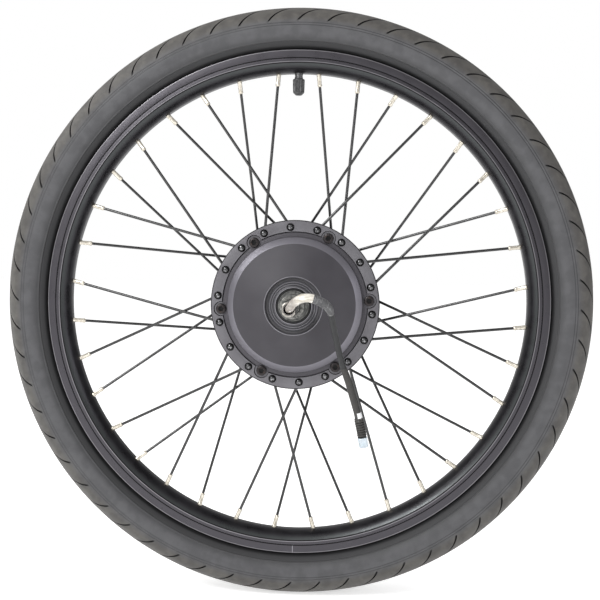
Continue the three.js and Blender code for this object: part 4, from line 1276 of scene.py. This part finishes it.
def add_shell():
    """The casing with a boss under each screw, a pocket for each lobe and a hole for each spoke; the pocket
    and hole walls take painted shade.
    """
    shell = mesh_object("hub_casing", turned(shell_outline(), HUB_SEGMENTS), "hub")
    boss = [(COVER_SEAT_Y - 0.6, BOSS_R), (-3.4, BOSS_R), (-2.8, BOSS_R - 0.8)]
    combine(shell, "UNION", at_screws(boss, 40), "hub")
    pocket = [(y, LOBE_R + 0.2) for y in (FLANGE_FACE_Y - 2, COVER_BACK_Y + 0.3)]
    # Painted shade: the pocket walls take the black hole look
    combine(shell, "DIFFERENCE", at_screws(pocket, 48), "hole")
    front = turned_copies(elbow_hole(FLANGE_FACE_Y, -1), 2 * PAIRS_PER_SIDE, FRONT_PAIR_ANGLE - RIM_STEP)
    rear_hole = elbow_hole(REAR_FLANGE_Y + FLANGE_THICKNESS, 1)
    rear = turned_copies(rear_hole, 2 * PAIRS_PER_SIDE, REAR_PAIR_ANGLE - RIM_STEP)
    # Painted shade: the spoke holes' walls take the black hole look
    combine(shell, "DIFFERENCE", joined(front, rear), "hole")
    place(shell, "wheel", "hub_paint", "hub_shell")


def cover_outline():
    floor_y = BEARING_Y - 0.5
    corners = [
        (SHELL_R - 0.1, COVER_BACK_Y, 0.2),
        (SHELL_R - 0.1, COVER_FACE_Y, 0.3),
        (56.0, COVER_FACE_Y, 0.4),
        (55.8, -20.6, 0.6),
        (50.4, -25.3, 0.4),
        (25.0, -35.7, 1.5),
        (23.9, COVER_NOSE_Y, 0.3),
        (RECESS_R, COVER_NOSE_Y, 0.25),
        (RECESS_R - 0.3, floor_y + 0.6, 0.4),
    ]
    for groove_r in (20.4, 18.2, 16.6):
        corners += [(groove_r + 0.35, floor_y + 0.6, 0.1), (groove_r + 0.2, floor_y + 1.0, 0.1)]
        corners += [(groove_r - 0.2, floor_y + 1.0, 0.1), (groove_r - 0.35, floor_y + 0.3, 0.1)]
    corners += [
        (BEARING_R + 1.3, floor_y + 0.1, 0.2),
        (BEARING_R + 0.35, floor_y, 0.2),
        (BEARING_R + 0.35, BEARING_Y + 8.3, 0.2),
        (11.5, BEARING_Y + 8.3, 0.2),
        (11.5, -22.6, 0.2),
        (20.0, -22.6, 0.5),
        (23.0, -30.2, 0.5),
        (48.0, -21.3, 1.0),
        (50.5, COVER_SEAT_Y, 0.3),
        (53.0, COVER_SEAT_Y, 0.2),
        (53.0, COVER_BACK_Y, 0.2),
    ]
    return rounded(corners, 0.3)


def add_cover():
    cover = mesh_object("motor_cover", turned(cover_outline(), HUB_SEGMENTS), "hub")
    side_r = LOBE_R - 0.05
    lobe = [(COVER_FACE_Y, LOBE_R - 0.3), (COVER_FACE_Y + 0.3, side_r), (COVER_BACK_Y, side_r)]
    combine(cover, "UNION", at_screws(lobe, 48), "hub")
    place(cover, "wheel", "hub_paint", "front_cover")


def hexagon(angle, radius):
    """The radius of a hexagon's outline that has this radius at its flats."""
    return radius / np.cos(angle % (TURN / 6) - TURN / 12)


def screw_solid():
    """A low round head with a hexagon socket, on a plain shank."""
    face = SCREW_FACE_Y
    socket = [(0, face + 1.3), (SOCKET_R, face + 1.15), (SOCKET_R, face + 0.2), (SOCKET_R + 0.25, face)]
    head = [(2.9, face), (3.7, face + 0.15), (4.2, face + 0.55), (4.3, face + 1.9)]
    shank = [(2.0, face + 1.9), (2.0, -7.0), (0, -7.0)]
    angle = np.arange(36) * TURN / 36
    rings = [ring_points(hexagon(angle, radius), y, angle) for radius, y in socket]
    rings += [ring_points(radius, y, angle) for radius, y in head + shank]
    points, faces = skin(np.array(rings), closed=False)
    return points + polar(SCREW_CIRCLE_R, 0), faces


def add_screws():
    first = mesh_object("screw_1", screw_solid(), "screw")
    for i, screw in enumerate(sharing_mesh(first, "screw", SCREWS)):
        screw.rotation_euler = (0, math.radians(SCREW_ANGLE + 360 / SCREWS * i), 0)
        place(screw, "wheel", "black_steel", f"cover_screw_{i + 1}")


add_shell()
add_cover()
add_screws()

# ---- Bearings, spacers and axle ----

SLEEVED_R = 6.3  # the bore of what sits on the axle


def add_bearing(side, face_y, inward):
    """Outer ring, rubber seal with a pressed groove, and inner ring; depths run into the hub."""
    outer = [(BEARING_R, 0.0, 0.4), (BEARING_R, 8.0, 0.4), (11.6, 8.0, 0.2)]
    outer += [(11.6, 0.9, 0.2), (12.5, 0.9, 0.1), (12.7, 0.0, 0.2)]
    seal = [(12.55, 0.15, 0.1), (12.3, 0.85, 0.1), (9.1, 0.85, 0.1), (9.1, 0.2, 0.15)]
    seal += [(9.7, 0.15, 0.1), (10.0, 0.45, 0.1), (11.4, 0.45, 0.1), (11.8, 0.15, 0.1)]
    inner = [(8.6, 0.0, 0.25), (8.6, 8.0, 0.25), (SLEEVED_R, 8.0, 0.25), (SLEEVED_R, 0.0, 0.25)]
    pieces = (
        ("race", outer, "race", 120, "wheel", "seal_rubber", f"{side}_bearing_outer_ring"),
        ("seal", seal, "seal", 120, "wheel", "seal_rubber"),
        ("inner", inner, "steel", 96, "axle", "bearing_steel", f"{side}_bearing_inner_ring"),
    )
    for name, corners, *rest in pieces:
        outline = [(radius, face_y + inward * depth, curve) for radius, depth, curve in corners]
        turned_piece(f"{side}_bearing_{name}", outline, *rest)


def add_spacers():
    start, end = corner_mm("front_axle_spacer", 1).y, corner_mm("front_axle_spacer", 0).y
    front = [(SLEEVED_R, start), (8.6, start), (8.6, -36.5), (9.8, -36.5, 0.4), (9.8, -41.0, 0.3)]
    front += [(9.4, -41.4, 0.2), (9.4, -42.4, 0.2), (9.8, -42.8, 0.3)]
    front += [(9.8, end, 0.6), (SLEEVED_R, end, 0.4)]
    turned_piece("front_spacer", front, "zinc", 96, "axle", "zinc_steel", "front_axle_spacer")
    low, high = corner_mm("rear_axle_spacer", 0).y, corner_mm("rear_axle_spacer", 1).y
    rear = [(SLEEVED_R, low), (8.6, low, 0.3), (8.6, high, 0.4), (SLEEVED_R, high, 0.3)]
    turned_piece("rear_spacer", rear, "zinc", 96, "axle", "zinc_steel", "rear_axle_spacer")


THREAD_PITCH = 1.25
THREAD_DEPTH = 0.55
FLAT_HALF = 5.0
BORE_R = 3.9
SLOT_DEPTH = 9.0
SLOT_ANGLE = 42.0
THREAD_ANGLES = np.arange(72) * TURN / 72
THREAD_ROWS_PER_TURN = 8
SHOULDER_FRONT_Y = -25.1
SHOULDER_REAR_Y = 11.8
THREADS_FROM_Y = 51.0  # where the threads start, on both sides of the middle


def threaded_end(from_y, to_y):
    """Rings of a threaded, flatted length of axle, along Y."""
    count = int(abs(to_y - from_y) / THREAD_PITCH * THREAD_ROWS_PER_TURN)
    rings = []
    for y in np.linspace(from_y, to_y, count):
        phase = (y / THREAD_PITCH + THREAD_ANGLES / TURN) % 1.0
        crest = np.clip(2.6 * np.abs(phase - 0.5) - 0.15, 0, 1)
        near_end = min(abs(y - AXLE_FRONT_Y), abs(y - AXLE_REAR_Y))
        chamfer = max(0.0, 0.9 - near_end)
        radius = AXLE_R - THREAD_DEPTH * (1 - crest)
        radius = np.minimum(radius, AXLE_R - chamfer)
        flat = FLAT_HALF / np.maximum(np.abs(np.sin(THREAD_ANGLES)), 1e-6)
        radius = np.minimum(radius, flat)
        rings.append(ring_points(radius, y, THREAD_ANGLES))
    return rings


def plain_rings(*places):
    """A ring of the axle for each [radius, y] pair."""
    return [ring_points(radius, y, THREAD_ANGLES) for radius, y in places]


def slot_solid():
    """A box from the axle's middle outwards, for the open slot at the end that the cable leaves."""
    corners = np.array([[-1, -1], [1, -1], [1, 1], [-1, 1]]) * [BORE_R - 0.1, SLOT_DEPTH]
    across = polar(1, SLOT_ANGLE + 90)
    offsets = np.array([across * x + polar(0, 0, AXLE_FRONT_Y + y) for x, y in corners])
    rings = np.array([offsets, offsets + polar(AXLE_R + 3, SLOT_ANGLE)])
    ends = rings.mean(axis=1, keepdims=True).repeat(4, axis=1)
    return skin(np.concatenate([ends[:1], rings, ends[1:]]), closed=False)


def add_axle():
    shoulder = corner_mm("axle", 1).z
    plain_to = THREADS_FROM_Y - 0.5
    front = [(AXLE_R, -plain_to), (AXLE_R, SHOULDER_FRONT_Y), (shoulder, SHOULDER_FRONT_Y)]
    rear = [(shoulder, SHOULDER_REAR_Y), (AXLE_R, SHOULDER_REAR_Y), (AXLE_R, plain_to)]
    rings = plain_rings((0, AXLE_FRONT_Y)) + threaded_end(AXLE_FRONT_Y, -THREADS_FROM_Y)
    rings += plain_rings(*front, *rear)
    rings += threaded_end(THREADS_FROM_Y, AXLE_REAR_Y) + plain_rings((0, AXLE_REAR_Y))
    axle = mesh_object("threaded_axle", skin(np.array(rings), closed=False), "axle", 40)
    mouth = straight((0, AXLE_FRONT_Y - 1, 0), (0, 1, 0), 80)
    bore = swept(mouth, [(0, BORE_R), (70, BORE_R), (71, 0)], 36)
    bevel = swept(mouth, [(0, BORE_R + 1.7), (1.8, BORE_R - 0.1), (1.9, 0)], 36)
    # Painted shade: the bore takes the black hole look
    for cutter, look in ((bore, "hole"), (bevel, "steel"), (slot_solid(), "zinc")):
        combine(axle, "DIFFERENCE", cutter, look, 40)
    place(axle, "axle", "zinc_steel", "axle")


add_bearing("front", BEARING_Y, 1)
add_bearing("rear", REAR_BEARING_Y, -1)
add_spacers()
add_axle()

# ---- Valve ----

FLUTES = 12
STEM_R = 3.5
STEM_FOOT_R = 206.0  # the stem's end inside the rim
FLUTE_DEPTH = 0.8


def fluted(angle, radius, along):
    """Grip flutes round the valve cap's skirt."""
    depth = FLUTE_DEPTH if 0.8 < along < 10.6 and radius > 4 else 0.0
    return radius - depth * (0.5 - 0.5 * np.cos(angle * FLUTES))


def add_valve():
    inward = (0, 0, -1)
    length = STEM_FOOT_R - CAP_TOP_R
    in_rim = STEM_FOOT_R - RIM_INNER_R
    end = length - 0.3
    neck_r = STEM_R - 0.25
    neck = [(0, STEM_R), (in_rim + 0.9, STEM_R), (in_rim + 1.2, neck_r), (end - 1.6, neck_r)]
    neck += [(end - 1.3, STEM_R), (end - 0.3, STEM_R), (end, STEM_R - 0.3)]
    stem = swept(straight(polar(STEM_FOOT_R, 0), inward, length), neck, 36)
    place(mesh_object("stem_rubber", stem, "stem"), "wheel", "soft_rubber", "valve_stem")
    height = CAP_TOP_R - CAP_END_R
    cap = [(0, 4.7), (0.3, 4.95), (0.8, 5.0), (1.0, 4.98), (5.5, 4.88), (10.4, 4.72), (10.8, 4.7)]
    cap += [(11.4, 4.3), (12.5, 3.2), (height - 0.1, 2.5), (height, 2.2)]
    cap_line = straight(polar(CAP_TOP_R, 0), inward, height + 1)
    made = mesh_object("dust_cap", swept(cap_line, cap, 160, fluted), "cap", 50)
    place(made, "valve_cap", "black_plastic", "valve_cap")


add_valve()

# ---- CAD parts that stay as they are, inside the tyre and the motor ----

INSIDE = {
    "butyl": ["inner_tube"],
    "tape": ["rim_tape"],
    "alloy": ["rim_joint_insert"],
    "gasket": ["cover_gasket"],
    "laminated": ["stator_core"],
    "copper": ["stator_windings", "phase_wires"],
    "board": ["hall_sensor_board"],
    "can": ["rotor_can"],
    "magnet": ["rotor_magnets"],
    "gear": ["sun_gear", "ring_gear", "planet_carrier"],
    "steel": ["one_way_clutch"],
    "nylon": ["planet_gear_1", "planet_gear_2", "planet_gear_3"],
}
for look_name, nodes in INSIDE.items():
    for node in nodes:
        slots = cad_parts[node].data.materials
        slots.clear()
        slots.append(LOOKS[look_name])

# ---- Floor ----

FLOOR_GLOW = 0.62


def add_floor():
    """A large white floor, a little bright by itself so that it meets the surround without an edge."""
    size = 8.0
    look = Look("floor_white", roughness=0.9)
    white = look.mix(look.noise(300.0), (0.9, 0.9, 0.9, 1), (0.94, 0.94, 0.94, 1))
    look.color(white)
    look.feed(look.shader.inputs["Emission Color"], white)
    look.shader.inputs["Emission Strength"].default_value = FLOOR_GLOW
    mesh = bpy.data.meshes.new("floor")
    low = CAD_BOX[0].z
    corners = [(-size, -size, low), (size, -size, low), (size, size, low), (-size, size, low)]
    mesh.from_pydata(corners, [], [(0, 1, 2, 3)])
    mesh.materials.append(look.material)
    new_object("floor", mesh)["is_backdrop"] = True


add_floor()

boxes = {"cad": CAD_BOX, "visual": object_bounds()}
{name: [list(corner) for corner in box] for name, box in boxes.items()}
